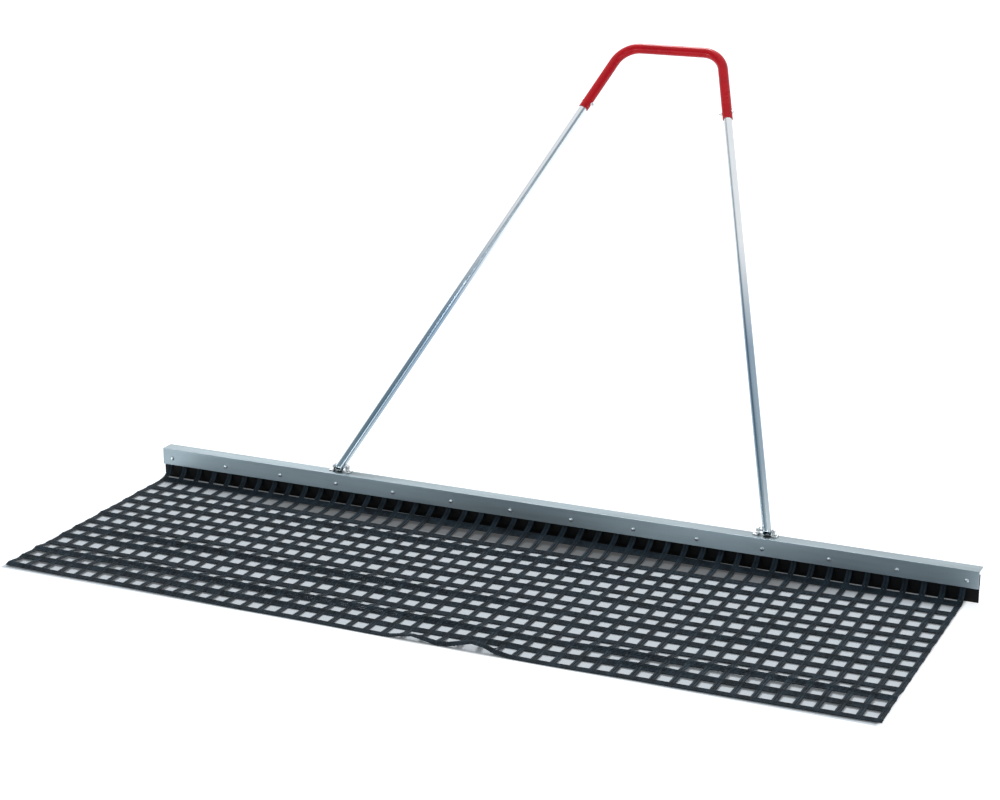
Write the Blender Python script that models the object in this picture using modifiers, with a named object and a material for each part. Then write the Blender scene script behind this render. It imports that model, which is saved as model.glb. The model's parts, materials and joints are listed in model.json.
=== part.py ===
"""Drag net for levelling a tennis court: a 2 m aluminium bar that pulls a net over the sand.

Frame: X runs along the bar, +Y points to the side that the handle leans to and +Z is up.
The origin lies on the floor, under the middle of the rubber strip that the bar stands on.
"""

import math

import bmesh
import bpy
import numpy as np
from mathutils import Matrix, Vector

MM = 0.001

# Clearances between pieces
SEAT_GAP = 0.3 * MM
HOLE_CLEARANCE = 0.3 * MM
RUNNING_GAP = 0.5 * MM

# Aluminium angle: the face stands at the front, the flange runs back from its top
BAR_LENGTH = 2000 * MM
BAR_FACE_HEIGHT = 40 * MM
BAR_FLANGE_DEPTH = 35 * MM
BAR_WALL = 3 * MM
BAR_EDGE_RADIUS = 0.6 * MM
BAR_ROOT_RADIUS = 2 * MM

# Rubber strip and the flat strip that clamps it
STRIP_DROP = 33 * MM
STRIP_CLAMPED_HEIGHT = 27 * MM
STRIP_THICKNESS = 5 * MM
CLAMP_HEIGHT = 25 * MM
CLAMP_THICKNESS = 2 * MM

# Rivets along the face
RIVET_COUNT = 14
RIVET_END_DISTANCE = 25 * MM
RIVET_LINE_HEIGHT = 16.5 * MM
RIVET_SHANK_DIAMETER = 4.8 * MM
RIVET_HEAD_DIAMETER = 9.5 * MM
RIVET_HEAD_HEIGHT = 2.6 * MM
RIVET_TAIL_DIAMETER = 7.6 * MM
RIVET_TAIL_HEIGHT = 1.8 * MM

# Net: the woven one has 47 gaps across, which are taken in pairs here
NET_END_MARGIN = 16.5 * MM
NET_WIDTH = BAR_LENGTH - 2 * NET_END_MARGIN
NET_THICKNESS = 3 * MM
NET_COLUMNS = 23
NET_ROWS = 13
NET_ROW_PITCH = 52.4 * MM
NET_CROSS_BAND = 17.8 * MM
NET_LENGTH_BAND = 26 * MM
NET_SELVAGE = 17 * MM
NET_FRONT_BAND = 24 * MM
NET_HEM_HEIGHT = 27 * MM
NET_HEM_OVERLAP = 2.5 * MM
NET_BEND_DROP = 2.5 * MM
# The net leaves the bar on a low slope in the middle and hangs almost straight down at both ends
NET_LEAVE_ANGLE_MIDDLE = math.radians(35)
NET_LEAVE_ANGLE_END = math.radians(85)
NET_STEP = 1 * MM
# How far the net's two ends stand off the floor
NET_END_RISE = 1.5 * MM

# Ripples that the net keeps from being rolled up. Each rises over one row of gaps and drops over the
# band beyond it: row counted from 0 at the bar, height, middle along the bar, half length
NET_RIPPLES = (
    (2, 2 * MM, 0 * MM, 2500 * MM),
    (2, 3.5 * MM, -200 * MM, 500 * MM),
    (3, 2.5 * MM, -350 * MM, 950 * MM),
    (5, 2.5 * MM, 0 * MM, 2500 * MM),
    (7, 2.5 * MM, 0 * MM, 1500 * MM),
    (7, 3.5 * MM, -720 * MM, 360 * MM),
    (7, 4 * MM, -250 * MM, 360 * MM),
    (8, 1.5 * MM, 100 * MM, 900 * MM),
    (8, 4 * MM, -840 * MM, 300 * MM),
    (8, 3 * MM, -270 * MM, 250 * MM),
    (10, 1.5 * MM, 0 * MM, 2500 * MM),
    (10, 5 * MM, -620 * MM, 950 * MM),
    (10, 4.5 * MM, 680 * MM, 600 * MM),
    (11, 1 * MM, 0 * MM, 2500 * MM),
    (11, 3.5 * MM, -720 * MM, 600 * MM),
    (11, 4 * MM, 470 * MM, 140 * MM),
    (12, 3.5 * MM, -980 * MM, 120 * MM),
    (12, 2.5 * MM, -550 * MM, 200 * MM),
)
# Broad swells under several rows: distance from the bar, height, half width, middle, half length
NET_SWELLS = (
    (590 * MM, 3.5 * MM, 75 * MM, 780 * MM, 500 * MM),
    (600 * MM, 2.5 * MM, 80 * MM, -750 * MM, 500 * MM),
)
# Places where the front edge stands off the floor: height, middle along the bar, half length
NET_FRONT_LIFTS = (
    (10 * MM, 0 * MM, 60 * MM),
    (14 * MM, 140 * MM, 70 * MM),
)

# Handle, measured in its own plane from the line through both pivots
HANDLE_LEAN = math.radians(50)
HANDLE_REACH = 1189 * MM
PIVOT_SPREAD = 1052 * MM
GRIP_CORNER_SPREAD = 252.6 * MM
GRIP_BEND_RADIUS = 63.5 * MM
GRIP_ARM_LENGTH = 188 * MM
LEG_DIAMETER = 20 * MM
LEG_WALL = 1.5 * MM
LEG_OVERHANG = 9.3 * MM
LEG_INSERTION = 55 * MM
GRIP_WALL = 2 * MM

# Lugs that carry the pivots on the flange
PIVOT_HEIGHT = 11 * MM
PIVOT_SETBACK = 8 * MM
LUG_THICKNESS = 2 * MM
LUG_DEPTH = 17 * MM
LUG_FOOT_LENGTH = 13 * MM
LUG_TOP_RADIUS = 7 * MM
LUG_BEND_RADIUS = 2 * MM
LUG_SHOULDER_HEIGHT = 6 * MM
LUG_RIVET_DIAMETER = 4 * MM
LUG_RIVET_HEAD_DIAMETER = 7 * MM
LUG_RIVET_HEAD_HEIGHT = 2 * MM
LUG_RIVET_TAIL_HEIGHT = 1.5 * MM

# Bolts
PIVOT_BOLT_DIAMETER = 6 * MM
PIVOT_BOLT_FLATS = 10 * MM
PIVOT_BOLT_HEAD_HEIGHT = 4 * MM
PIVOT_NUT_HEIGHT = 5 * MM
GRIP_BOLT_DIAMETER = 5 * MM
GRIP_BOLT_FLATS = 8 * MM
GRIP_BOLT_HEAD_HEIGHT = 3.5 * MM
GRIP_NUT_HEIGHT = 4 * MM
GRIP_BOLT_FROM_END = 18 * MM
PIVOT_BOLT_END = 1.5 * MM
GRIP_BOLT_END = 4 * MM

# Facets
TUBE_STEPS = 24
ROUND_STEPS = 16
DOME_STEPS = 3
CORNER_STEPS = 3
BEND_STEPS = 9
GRIP_BEVEL_RESOLUTION = 6
WELD_DISTANCE = 0.001 * MM
CUTTER_MARGIN = 5 * MM
SMOOTH_ANGLE = math.radians(35)

# Places that follow from the sizes
STRIP_FRONT = -STRIP_THICKNESS / 2
STRIP_BACK = STRIP_THICKNESS / 2
NET_HEM_Y = STRIP_FRONT - SEAT_GAP - NET_THICKNESS / 2
FACE_BACK = NET_HEM_Y - NET_THICKNESS / 2 - SEAT_GAP
FACE_FRONT = FACE_BACK - BAR_WALL
FLANGE_BACK = FACE_FRONT + BAR_FLANGE_DEPTH
CLAMP_FRONT = STRIP_BACK + SEAT_GAP
CLAMP_BACK = CLAMP_FRONT + CLAMP_THICKNESS
FACE_BOTTOM = STRIP_DROP
FLANGE_TOP = FACE_BOTTOM + BAR_FACE_HEIGHT
FLANGE_UNDERSIDE = FLANGE_TOP - BAR_WALL
RIVET_Z = FACE_BOTTOM + RIVET_LINE_HEIGHT
NET_BEND_Z = FACE_BOTTOM - NET_BEND_DROP
NET_REST_Z = NET_THICKNESS / 2
NET_GAP_LENGTH = NET_ROW_PITCH - NET_CROSS_BAND
NET_LENGTH = NET_ROWS * NET_ROW_PITCH - NET_CROSS_BAND + NET_FRONT_BAND - NET_HEM_OVERLAP
NET_EDGE_START = NET_LENGTH - NET_FRONT_BAND - NET_GAP_LENGTH / 2

PIVOT_Y = FLANGE_BACK - PIVOT_SETBACK
PIVOT_Z = FLANGE_TOP + PIVOT_HEIGHT
LEG_RADIUS = LEG_DIAMETER / 2
LEG_END_RADIUS = PIVOT_HEIGHT - RUNNING_GAP
GRIP_BORE_RADIUS = LEG_RADIUS + SEAT_GAP
GRIP_RADIUS = GRIP_BORE_RADIUS + GRIP_WALL
SPLAY = math.atan2((PIVOT_SPREAD - GRIP_CORNER_SPREAD) / 2, HANDLE_REACH)
LEG_LINE_LENGTH = HANDLE_REACH / math.cos(SPLAY)
SLEEVE_END = LEG_LINE_LENGTH - GRIP_ARM_LENGTH
LEG_HALF_WIDTH = LEG_RADIUS / math.cos(SPLAY)
LUG_REACH = math.hypot(PIVOT_HEIGHT, LUG_DEPTH - LUG_TOP_RADIUS)
LUG_GAP_INNER = LEG_HALF_WIDTH + LUG_REACH * math.tan(SPLAY) + RUNNING_GAP
LUG_GAP_OUTER = LEG_RADIUS * math.cos(SPLAY) + LEG_OVERHANG * math.sin(SPLAY) + RUNNING_GAP
LUG_FRONT = PIVOT_Y + LUG_TOP_RADIUS - LUG_DEPTH
LUG_BASE_Z = FLANGE_TOP + SEAT_GAP
LUG_RIVET_Y = PIVOT_Y + LUG_TOP_RADIUS - LUG_DEPTH / 2
LUG_RIVET_FROM_EAR = (LUG_FOOT_LENGTH + LUG_THICKNESS) / 2

ALONG_X = Matrix(((0, 0, 1, 0), (1, 0, 0, 0), (0, 1, 0, 0), (0, 0, 0, 1)))
FACING_FRONT = Matrix(((1, 0, 0, 0), (0, 0, -1, 0), (0, 1, 0, 0), (0, 0, 0, 1)))


def clear_scene():
    for obj in list(bpy.data.objects):
        bpy.data.objects.remove(obj, do_unlink=True)


def make_collection(name):
    collection = bpy.data.collections.new(name)
    bpy.context.scene.collection.children.link(collection)
    return collection


def make_material(name, colour, roughness, metallic):
    material = bpy.data.materials.new(name)
    material.use_nodes = True
    shader = material.node_tree.nodes["Principled BSDF"]
    shader.inputs["Base Color"].default_value = (*colour, 1)
    shader.inputs["Roughness"].default_value = roughness
    shader.inputs["Metallic"].default_value = metallic
    material.diffuse_color = (*colour, 1)
    return material


def add_object(name, mesh, collection, material=None):
    obj = bpy.data.objects.new(name, mesh)
    collection.objects.link(obj)
    if material:
        mesh.materials.append(material)
    return obj


def shade(mesh):
    mesh.shade_smooth()
    mesh.set_sharp_from_angle(angle=SMOOTH_ANGLE)


def mesh_from_bmesh(name, shape):
    mesh = bpy.data.meshes.new(name)
    shape.to_mesh(mesh)
    shape.free()
    return mesh


def mesh_from_curve(name, curve, collection):
    """The closed mesh of a curve, with the loose caps welded on."""
    guide = bpy.data.objects.new(name + "_guide", curve)
    collection.objects.link(guide)
    bpy.context.view_layer.update()
    evaluated = guide.evaluated_get(bpy.context.evaluated_depsgraph_get())
    mesh = bpy.data.meshes.new_from_object(evaluated)
    bpy.data.objects.remove(guide)
    mesh.name = name
    shape = bmesh.new()
    shape.from_mesh(mesh)
    bmesh.ops.remove_doubles(shape, verts=shape.verts, dist=WELD_DISTANCE)
    bmesh.ops.recalc_face_normals(shape, faces=shape.faces)
    shape.to_mesh(mesh)
    shape.free()
    return mesh


def rounded_outline(corners):
    """Outline points from (x, y, radius) corners, each corner turned into an arc."""
    points = []
    count = len(corners)
    for index, (x, y, radius) in enumerate(corners):
        corner = Vector((x, y))
        before = (Vector(corners[index - 1][:2]) - corner).normalized()
        after = (Vector(corners[(index + 1) % count][:2]) - corner).normalized()
        if radius == 0:
            points.append(corner)
            continue
        half_angle = before.angle(after) / 2
        middle = corner + (before + after).normalized() * (radius / math.sin(half_angle))
        start = corner + before * (radius / math.tan(half_angle)) - middle
        end = corner + after * (radius / math.tan(half_angle)) - middle
        sweep = start.angle_signed(end)
        for step in range(CORNER_STEPS + 1):
            turn = Matrix.Rotation(-sweep * step / CORNER_STEPS, 2)
            points.append(middle + turn @ start)
    return points


def prism_mesh(name, points, depth, collection):
    """A flat outline in local XY, as thick as depth along local Z."""
    curve = bpy.data.curves.new(name, "CURVE")
    curve.dimensions = "2D"
    curve.fill_mode = "BOTH"
    curve.extrude = depth / 2
    spline = curve.splines.new("POLY")
    spline.points.add(len(points) - 1)
    for target, point in zip(spline.points, points):
        target.co = (point[0], point[1], 0, 1)
    spline.use_cyclic_u = True
    return mesh_from_curve(name, curve, collection)


def turned_object(name, profile, steps, collection, material, closed=False):
    """A profile of (radius, height) points, from the top down its outer side, turned round Z."""
    mesh = bpy.data.meshes.new(name)
    vertices = [(radius, 0, height) for radius, height in profile]
    edges = [(index, index + 1) for index in range(len(profile) - 1)]
    if closed:
        edges.append((len(profile) - 1, 0))
    mesh.from_pydata(vertices, edges, [])
    obj = add_object(name, mesh, collection, material)
    screw = obj.modifiers.new("Turn", "SCREW")
    screw.axis = "Z"
    screw.angle = math.tau
    screw.steps = steps
    screw.render_steps = steps
    screw.use_merge_vertices = True
    screw.merge_threshold = WELD_DISTANCE
    screw.use_smooth_shade = True
    return obj


def hide_as_guide(obj):
    obj.hide_render = True
    obj.display_type = "WIRE"


def round_cutter(name, centres, direction, radius, length, collection):
    """Round pins through every centre along one direction, for cutting holes."""
    shape = bmesh.new()
    turn = Vector(direction).to_track_quat("Z", "Y").to_matrix().to_4x4()
    for centre in centres:
        bmesh.ops.create_cone(
            shape, cap_ends=True, segments=ROUND_STEPS, radius1=radius, radius2=radius,
            depth=length, matrix=Matrix.Translation(centre) @ turn)
    cutter = add_object(name, mesh_from_bmesh(name, shape), collection)
    hide_as_guide(cutter)
    return cutter


def combine(obj, other, operation):
    boolean = obj.modifiers.new(other.name, "BOOLEAN")
    boolean.operation = operation
    boolean.solver = "EXACT"
    boolean.object = other


def place(obj, matrix, parent=None):
    obj.parent = parent
    obj.matrix_local = matrix


def rivet_profile(head_radius, head_height, shank_radius, grip_length, tail_radius, tail_height):
    """Domed head over the seat at height 0, shank, and the tail below the joined plates."""
    profile = []
    for step in range(DOME_STEPS + 1):
        angle = math.pi / 2 * step / DOME_STEPS
        profile.append((head_radius * math.sin(angle), SEAT_GAP + head_height * math.cos(angle)))
    tail_top = -grip_length - SEAT_GAP
    profile.append((shank_radius, SEAT_GAP))
    profile.append((shank_radius, tail_top))
    profile.append((tail_radius, tail_top))
    profile.append((tail_radius, tail_top - tail_height))
    profile.append((0, tail_top - tail_height))
    return profile


def rivet_places():
    """Middle of each rivet along the bar, evenly between the two end ones."""
    reach = BAR_LENGTH - 2 * RIVET_END_DISTANCE
    step = reach / (RIVET_COUNT - 1)
    return [-reach / 2 + step * index for index in range(RIVET_COUNT)]


def lug_rivet_places():
    places = {}
    for side, sign in (("left", -1), ("right", 1)):
        pivot_x = sign * PIVOT_SPREAD / 2
        places[side + "_outer"] = pivot_x + sign * (LUG_GAP_OUTER + LUG_RIVET_FROM_EAR)
        places[side + "_inner"] = pivot_x - sign * (LUG_GAP_INNER + LUG_RIVET_FROM_EAR)
    return places


def build_bar_angle(parts, cutters, material, rivet_holes):
    corners = (
        (FACE_FRONT, FACE_BOTTOM, BAR_EDGE_RADIUS),
        (FACE_FRONT, FLANGE_TOP, BAR_EDGE_RADIUS),
        (FLANGE_BACK, FLANGE_TOP, BAR_EDGE_RADIUS),
        (FLANGE_BACK, FLANGE_UNDERSIDE, BAR_EDGE_RADIUS),
        (FACE_BACK, FLANGE_UNDERSIDE, BAR_ROOT_RADIUS),
        (FACE_BACK, FACE_BOTTOM, BAR_EDGE_RADIUS),
    )
    mesh = prism_mesh("bar_angle", rounded_outline(corners), BAR_LENGTH, cutters)
    shade(mesh)
    bar = add_object("bar_angle", mesh, parts, material)
    place(bar, ALONG_X)
    combine(bar, rivet_holes, "DIFFERENCE")
    centres = [(x, LUG_RIVET_Y, FLANGE_TOP) for x in lug_rivet_places().values()]
    radius = LUG_RIVET_DIAMETER / 2 + HOLE_CLEARANCE
    length = 2 * (BAR_WALL + CUTTER_MARGIN)
    lug_holes = round_cutter("lug_rivet_holes", centres, (0, 0, 1), radius, length, cutters)
    combine(bar, lug_holes, "DIFFERENCE")
    return lug_holes


def build_flat_strip(name, front, back, bottom, top, parts, material, rivet_holes):
    """A plain strip as long as the bar, with the rivet holes through it."""
    shape = bmesh.new()
    size = Matrix.Diagonal((BAR_LENGTH, back - front, top - bottom, 1))
    middle = Matrix.Translation((0, (front + back) / 2, (bottom + top) / 2))
    bmesh.ops.create_cube(shape, size=1, matrix=middle @ size)
    strip = add_object(name, mesh_from_bmesh(name, shape), parts, material)
    combine(strip, rivet_holes, "DIFFERENCE")


def bump(distance, half_width):
    """A smooth hill, 1 in its middle and 0 from its half width on."""
    share = np.clip(np.abs(distance) / half_width, 0, 1)
    return np.cos(share * math.pi / 2) ** 2


def climb(distance, length):
    """A smooth rise from 0 to 1 as distance goes from 0 to length."""
    return 0.5 - 0.5 * np.cos(np.clip(distance / length, 0, 1) * math.pi)


def net_height(x, fine):
    """Height of the net's middle surface across the bar at x, at fine steps along it from the bend."""
    end_share = (2 * abs(x) / BAR_LENGTH) ** 1.5
    leave_angle = NET_LEAVE_ANGLE_MIDDLE + (NET_LEAVE_ANGLE_END - NET_LEAVE_ANGLE_MIDDLE) * end_share
    arc_radius = (NET_BEND_Z - NET_REST_Z) / (1 - math.cos(leave_angle))
    angle = np.clip(leave_angle - fine / arc_radius, 0, None)
    height = NET_REST_Z + arc_radius * (1 - np.cos(angle))
    height += NET_END_RISE * end_share * climb(fine, arc_radius * leave_angle)
    for row, rise, middle, half_length in NET_RIPPLES:
        start = row * NET_ROW_PITCH - NET_HEM_OVERLAP
        crest = start + NET_GAP_LENGTH
        ripple = climb(fine - start, NET_GAP_LENGTH) * (1 - climb(fine - crest, NET_CROSS_BAND))
        height += rise * ripple * bump(x - middle, half_length)
    for distance, rise, half_width, middle, half_length in NET_SWELLS:
        height += rise * bump(fine - distance, half_width) * bump(x - middle, half_length)
    for rise, middle, half_length in NET_FRONT_LIFTS:
        height += rise * climb(fine - NET_EDGE_START, NET_LENGTH - NET_EDGE_START) * bump(x - middle, half_length)
    return height


def net_section(x, along):
    """Middle surface of the net across the bar at x, at each length along it from the bend."""
    fine = np.arange(0, NET_LENGTH + NET_STEP, NET_STEP)
    height = net_height(x, fine)
    steps = np.diff(height)
    forward = np.sqrt(np.clip(NET_STEP ** 2 - steps ** 2, 0, None))
    run = np.concatenate(((0,), np.cumsum(forward)))
    along = np.asarray(along)
    hanging = along < 0
    y = NET_HEM_Y - np.where(hanging, 0, np.interp(along, fine, run))
    z = np.where(hanging, NET_BEND_Z - along, np.interp(along, fine, height))
    return y, z


def net_lines():
    """Edges of the gaps across the net and along it, as positions and open flags."""
    column_pitch = (NET_WIDTH - 2 * NET_SELVAGE + NET_LENGTH_BAND) / NET_COLUMNS
    across = [-NET_WIDTH / 2]
    for column in range(NET_COLUMNS):
        start = -NET_WIDTH / 2 + NET_SELVAGE + column * column_pitch
        across += [start, start + column_pitch - NET_LENGTH_BAND]
    across.append(NET_WIDTH / 2)
    gaps = [(row * NET_ROW_PITCH - NET_HEM_OVERLAP) for row in range(NET_ROWS)]
    along = [-NET_HEM_HEIGHT, 0]
    for start in gaps:
        along += [start, start + NET_GAP_LENGTH]
    along.append(NET_LENGTH)
    along.sort()
    open_rows = []
    for start, end in zip(along[:-1], along[1:]):
        middle = (start + end) / 2
        open_rows.append(any(gap < middle < gap + NET_GAP_LENGTH for gap in gaps))
    return across, along, open_rows


def build_net(parts, material, rivet_holes):
    """A sheet with one opening for each gap, laid from the clamp over the floor."""
    across, along, open_rows = net_lines()
    columns = len(across) - 1
    rows = len(along) - 1
    shape = bmesh.new()
    bmesh.ops.create_grid(shape, x_segments=columns, y_segments=rows, size=1)
    places = {vert: (round((vert.co.x + 1) / 2 * columns), round((vert.co.y + 1) / 2 * rows))
              for vert in shape.verts}
    gaps = []
    for face in shape.faces:
        column = min(places[vert][0] for vert in face.verts)
        row = min(places[vert][1] for vert in face.verts)
        if column % 2 == 1 and open_rows[row]:
            gaps.append(face)
    sections = [net_section(x, along) for x in across]
    for vert, (column, row) in places.items():
        y, z = sections[column]
        vert.co = (across[column], y[row], z[row])
    bmesh.ops.delete(shape, geom=gaps, context="FACES")
    mesh = mesh_from_bmesh("net", shape)
    net = add_object("net", mesh, parts, material)
    solidify = net.modifiers.new("Thickness", "SOLIDIFY")
    solidify.thickness = NET_THICKNESS
    solidify.offset = 0
    solidify.use_even_offset = True
    combine(net, rivet_holes, "DIFFERENCE")


def build_face_rivets(parts, material):
    stack = CLAMP_BACK - FACE_FRONT
    profile = rivet_profile(
        RIVET_HEAD_DIAMETER / 2, RIVET_HEAD_HEIGHT, RIVET_SHANK_DIAMETER / 2, stack,
        RIVET_TAIL_DIAMETER / 2, RIVET_TAIL_HEIGHT)
    pattern = None
    for index, x in enumerate(rivet_places()):
        name = f"rivet_{index + 1:02d}"
        if pattern is None:
            rivet = turned_object(name, profile, ROUND_STEPS, parts, material)
            pattern = rivet
        else:
            rivet = pattern.copy()
            rivet.name = name
            parts.objects.link(rivet)
        place(rivet, Matrix.Translation((x, FACE_FRONT, RIVET_Z)) @ FACING_FRONT)


def build_lug(name, face_x, outward, parts, cutters, material, holes):
    """One bent lug: an ear that stands at face_x and a foot that turns outward on the flange."""
    ear_top = PIVOT_Z + LUG_TOP_RADIUS
    foot_top = LUG_BASE_Z + LUG_THICKNESS
    inner_bend = LUG_BEND_RADIUS
    corners = (
        (0, LUG_BASE_Z, inner_bend + LUG_THICKNESS / 2),
        (0, ear_top, 0),
        (LUG_THICKNESS, ear_top, 0),
        (LUG_THICKNESS, foot_top, inner_bend / 2),
        (LUG_FOOT_LENGTH, foot_top, 0),
        (LUG_FOOT_LENGTH, LUG_BASE_Z, 0),
    )
    points = [(x * outward, z) for x, z in rounded_outline(corners)]
    lug = add_object(name, prism_mesh(name, points, LUG_DEPTH, cutters), parts, material)
    middle_y = LUG_FRONT + LUG_DEPTH / 2
    place(lug, Matrix.Translation((face_x, middle_y, 0)) @ FACING_FRONT)
    shoulder = LUG_BASE_Z + LUG_SHOULDER_HEIGHT
    back = PIVOT_Y + LUG_TOP_RADIUS
    silhouette = [(back, LUG_BASE_Z - CUTTER_MARGIN), (back, PIVOT_Z)]
    front_turn = math.pi * 0.8
    steps = 4 * CORNER_STEPS
    for step in range(1, steps + 1):
        angle = front_turn * step / steps
        silhouette.append(
            (PIVOT_Y + LUG_TOP_RADIUS * math.cos(angle), PIVOT_Z + LUG_TOP_RADIUS * math.sin(angle)))
    silhouette += [(LUG_FRONT, shoulder), (LUG_FRONT, LUG_BASE_Z - CUTTER_MARGIN)]
    width = 2 * (LUG_FOOT_LENGTH + CUTTER_MARGIN)
    outline = add_object(name + "_outline", prism_mesh(name + "_outline", silhouette, width, cutters), cutters)
    hide_as_guide(outline)
    place(outline, Matrix.Translation((face_x, 0, 0)) @ ALONG_X)
    combine(lug, outline, "INTERSECT")
    for cutter in holes:
        combine(lug, cutter, "DIFFERENCE")


def build_lug_rivet(name, x, parts, material):
    plates = LUG_BASE_Z + LUG_THICKNESS - FLANGE_UNDERSIDE
    profile = rivet_profile(
        LUG_RIVET_HEAD_DIAMETER / 2, LUG_RIVET_HEAD_HEIGHT, LUG_RIVET_DIAMETER / 2, plates,
        LUG_RIVET_HEAD_DIAMETER / 2, LUG_RIVET_TAIL_HEIGHT)
    rivet = turned_object(name, profile, ROUND_STEPS, parts, material)
    place(rivet, Matrix.Translation((x, LUG_RIVET_Y, LUG_BASE_Z + LUG_THICKNESS)))


def hex_prism(shape, flats, bottom, height):
    """A hexagon with rounded-off corners left plain, from bottom up, round local Z."""
    radius = flats / 2 / math.cos(math.pi / 6)
    middle = Matrix.Translation((0, 0, bottom + height / 2))
    bmesh.ops.create_cone(
        shape, cap_ends=True, segments=6, radius1=radius, radius2=radius, depth=height, matrix=middle)


def build_bolt(name, diameter, flats, head_height, grip_length, parts, cutters, material):
    """Hexagon bolt: head on the +Z side of height 0, shank down through grip_length."""
    shape = bmesh.new()
    hex_prism(shape, flats, SEAT_GAP, head_height)
    bolt = add_object(name, mesh_from_bmesh(name, shape), parts, material)
    shank = bmesh.new()
    top = SEAT_GAP + head_height / 2
    length = top + grip_length
    bmesh.ops.create_cone(
        shank, cap_ends=True, segments=ROUND_STEPS, radius1=diameter / 2, radius2=diameter / 2,
        depth=length, matrix=Matrix.Translation((0, 0, top - length / 2)))
    shank_object = add_object(name + "_shank", mesh_from_bmesh(name + "_shank", shank), cutters)
    hide_as_guide(shank_object)
    combine(bolt, shank_object, "UNION")
    return bolt, shank_object


def build_nut(name, diameter, flats, height, parts, cutters, material):
    """Hexagon nut from height 0 down, with its bore round the bolt's shank."""
    shape = bmesh.new()
    hex_prism(shape, flats, -height, height)
    nut = add_object(name, mesh_from_bmesh(name, shape), parts, material)
    radius = diameter / 2 + HOLE_CLEARANCE
    length = 2 * height + CUTTER_MARGIN
    bore = round_cutter(name + "_bore", [(0, 0, 0)], (0, 0, 1), radius, length, cutters)
    combine(nut, bore, "DIFFERENCE")
    return nut, bore


def build_pivots(parts, cutters, materials, lug_holes):
    """Two lugs, their rivets, and the bolt and nut of the pivot, at each foot of the handle."""
    rivet_x = lug_rivet_places()
    bolt_radius = PIVOT_BOLT_DIAMETER / 2 + HOLE_CLEARANCE
    centres = [(sign * PIVOT_SPREAD / 2, PIVOT_Y, PIVOT_Z) for sign in (-1, 1)]
    width = LUG_GAP_INNER + LUG_GAP_OUTER + 2 * LUG_THICKNESS
    pivot_holes = round_cutter(
        "pivot_holes", centres, (1, 0, 0), bolt_radius, 2 * width, cutters)
    for side, sign in (("left", -1), ("right", 1)):
        pivot_x = sign * PIVOT_SPREAD / 2
        faces = (("outer", pivot_x + sign * LUG_GAP_OUTER, sign), ("inner", pivot_x - sign * LUG_GAP_INNER, -sign))
        for place_name, face_x, outward in faces:
            build_lug(
                f"lug_{side}_{place_name}", face_x, outward, parts, cutters, materials["zinc"],
                (pivot_holes, lug_holes))
            key = f"{side}_{place_name}"
            build_lug_rivet(f"lug_rivet_{key}", rivet_x[key], parts, materials["zinc"])
        grip_length = width + SEAT_GAP + PIVOT_NUT_HEIGHT + PIVOT_BOLT_END
        bolt, shank = build_bolt(
            f"pivot_bolt_{side}", PIVOT_BOLT_DIAMETER, PIVOT_BOLT_FLATS, PIVOT_BOLT_HEAD_HEIGHT,
            grip_length, parts, cutters, materials["zinc"])
        nut, bore = build_nut(
            f"pivot_nut_{side}", PIVOT_BOLT_DIAMETER, PIVOT_BOLT_FLATS, PIVOT_NUT_HEIGHT, parts,
            cutters, materials["zinc"])
        outward_x = Vector((sign, 0, 0)).to_track_quat("Z", "Y").to_matrix().to_4x4()
        head_seat = pivot_x + sign * (LUG_GAP_OUTER + LUG_THICKNESS)
        nut_seat = pivot_x - sign * (LUG_GAP_INNER + LUG_THICKNESS + SEAT_GAP)
        for obj in (bolt, shank):
            place(obj, Matrix.Translation((head_seat, PIVOT_Y, PIVOT_Z)) @ outward_x)
        for obj in (nut, bore):
            place(obj, Matrix.Translation((nut_seat, PIVOT_Y, PIVOT_Z)) @ outward_x)


def leg_frame(sign):
    """Frame at a pivot whose local Z runs up the leg and local X lies across it, outwards."""
    foot = Vector((sign * PIVOT_SPREAD / 2, 0, 0))
    up = Vector((-sign * math.sin(SPLAY), math.cos(SPLAY), 0))
    out = Vector((sign * math.cos(SPLAY), math.sin(SPLAY), 0))
    turn = Matrix((out, up.cross(out), up)).transposed().to_4x4()
    return Matrix.Translation(foot) @ turn


def leg_outline(pivot, cutters):
    """Both legs seen along the pivot line, rounded at the foot so that they turn clear of the flange."""
    steps = 4 * CORNER_STEPS
    points = []
    for step in range(steps + 1):
        angle = math.pi * (0.5 + step / steps)
        points.append((LEG_END_RADIUS * math.cos(angle), LEG_END_RADIUS * math.sin(angle)))
    points += [(HANDLE_REACH, -LEG_END_RADIUS), (HANDLE_REACH, LEG_END_RADIUS)]
    mesh = prism_mesh("leg_outline", points, 2 * PIVOT_SPREAD, cutters)
    outline = add_object("leg_outline", mesh, cutters)
    hide_as_guide(outline)
    place(outline, ALONG_X, pivot)
    return outline


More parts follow.
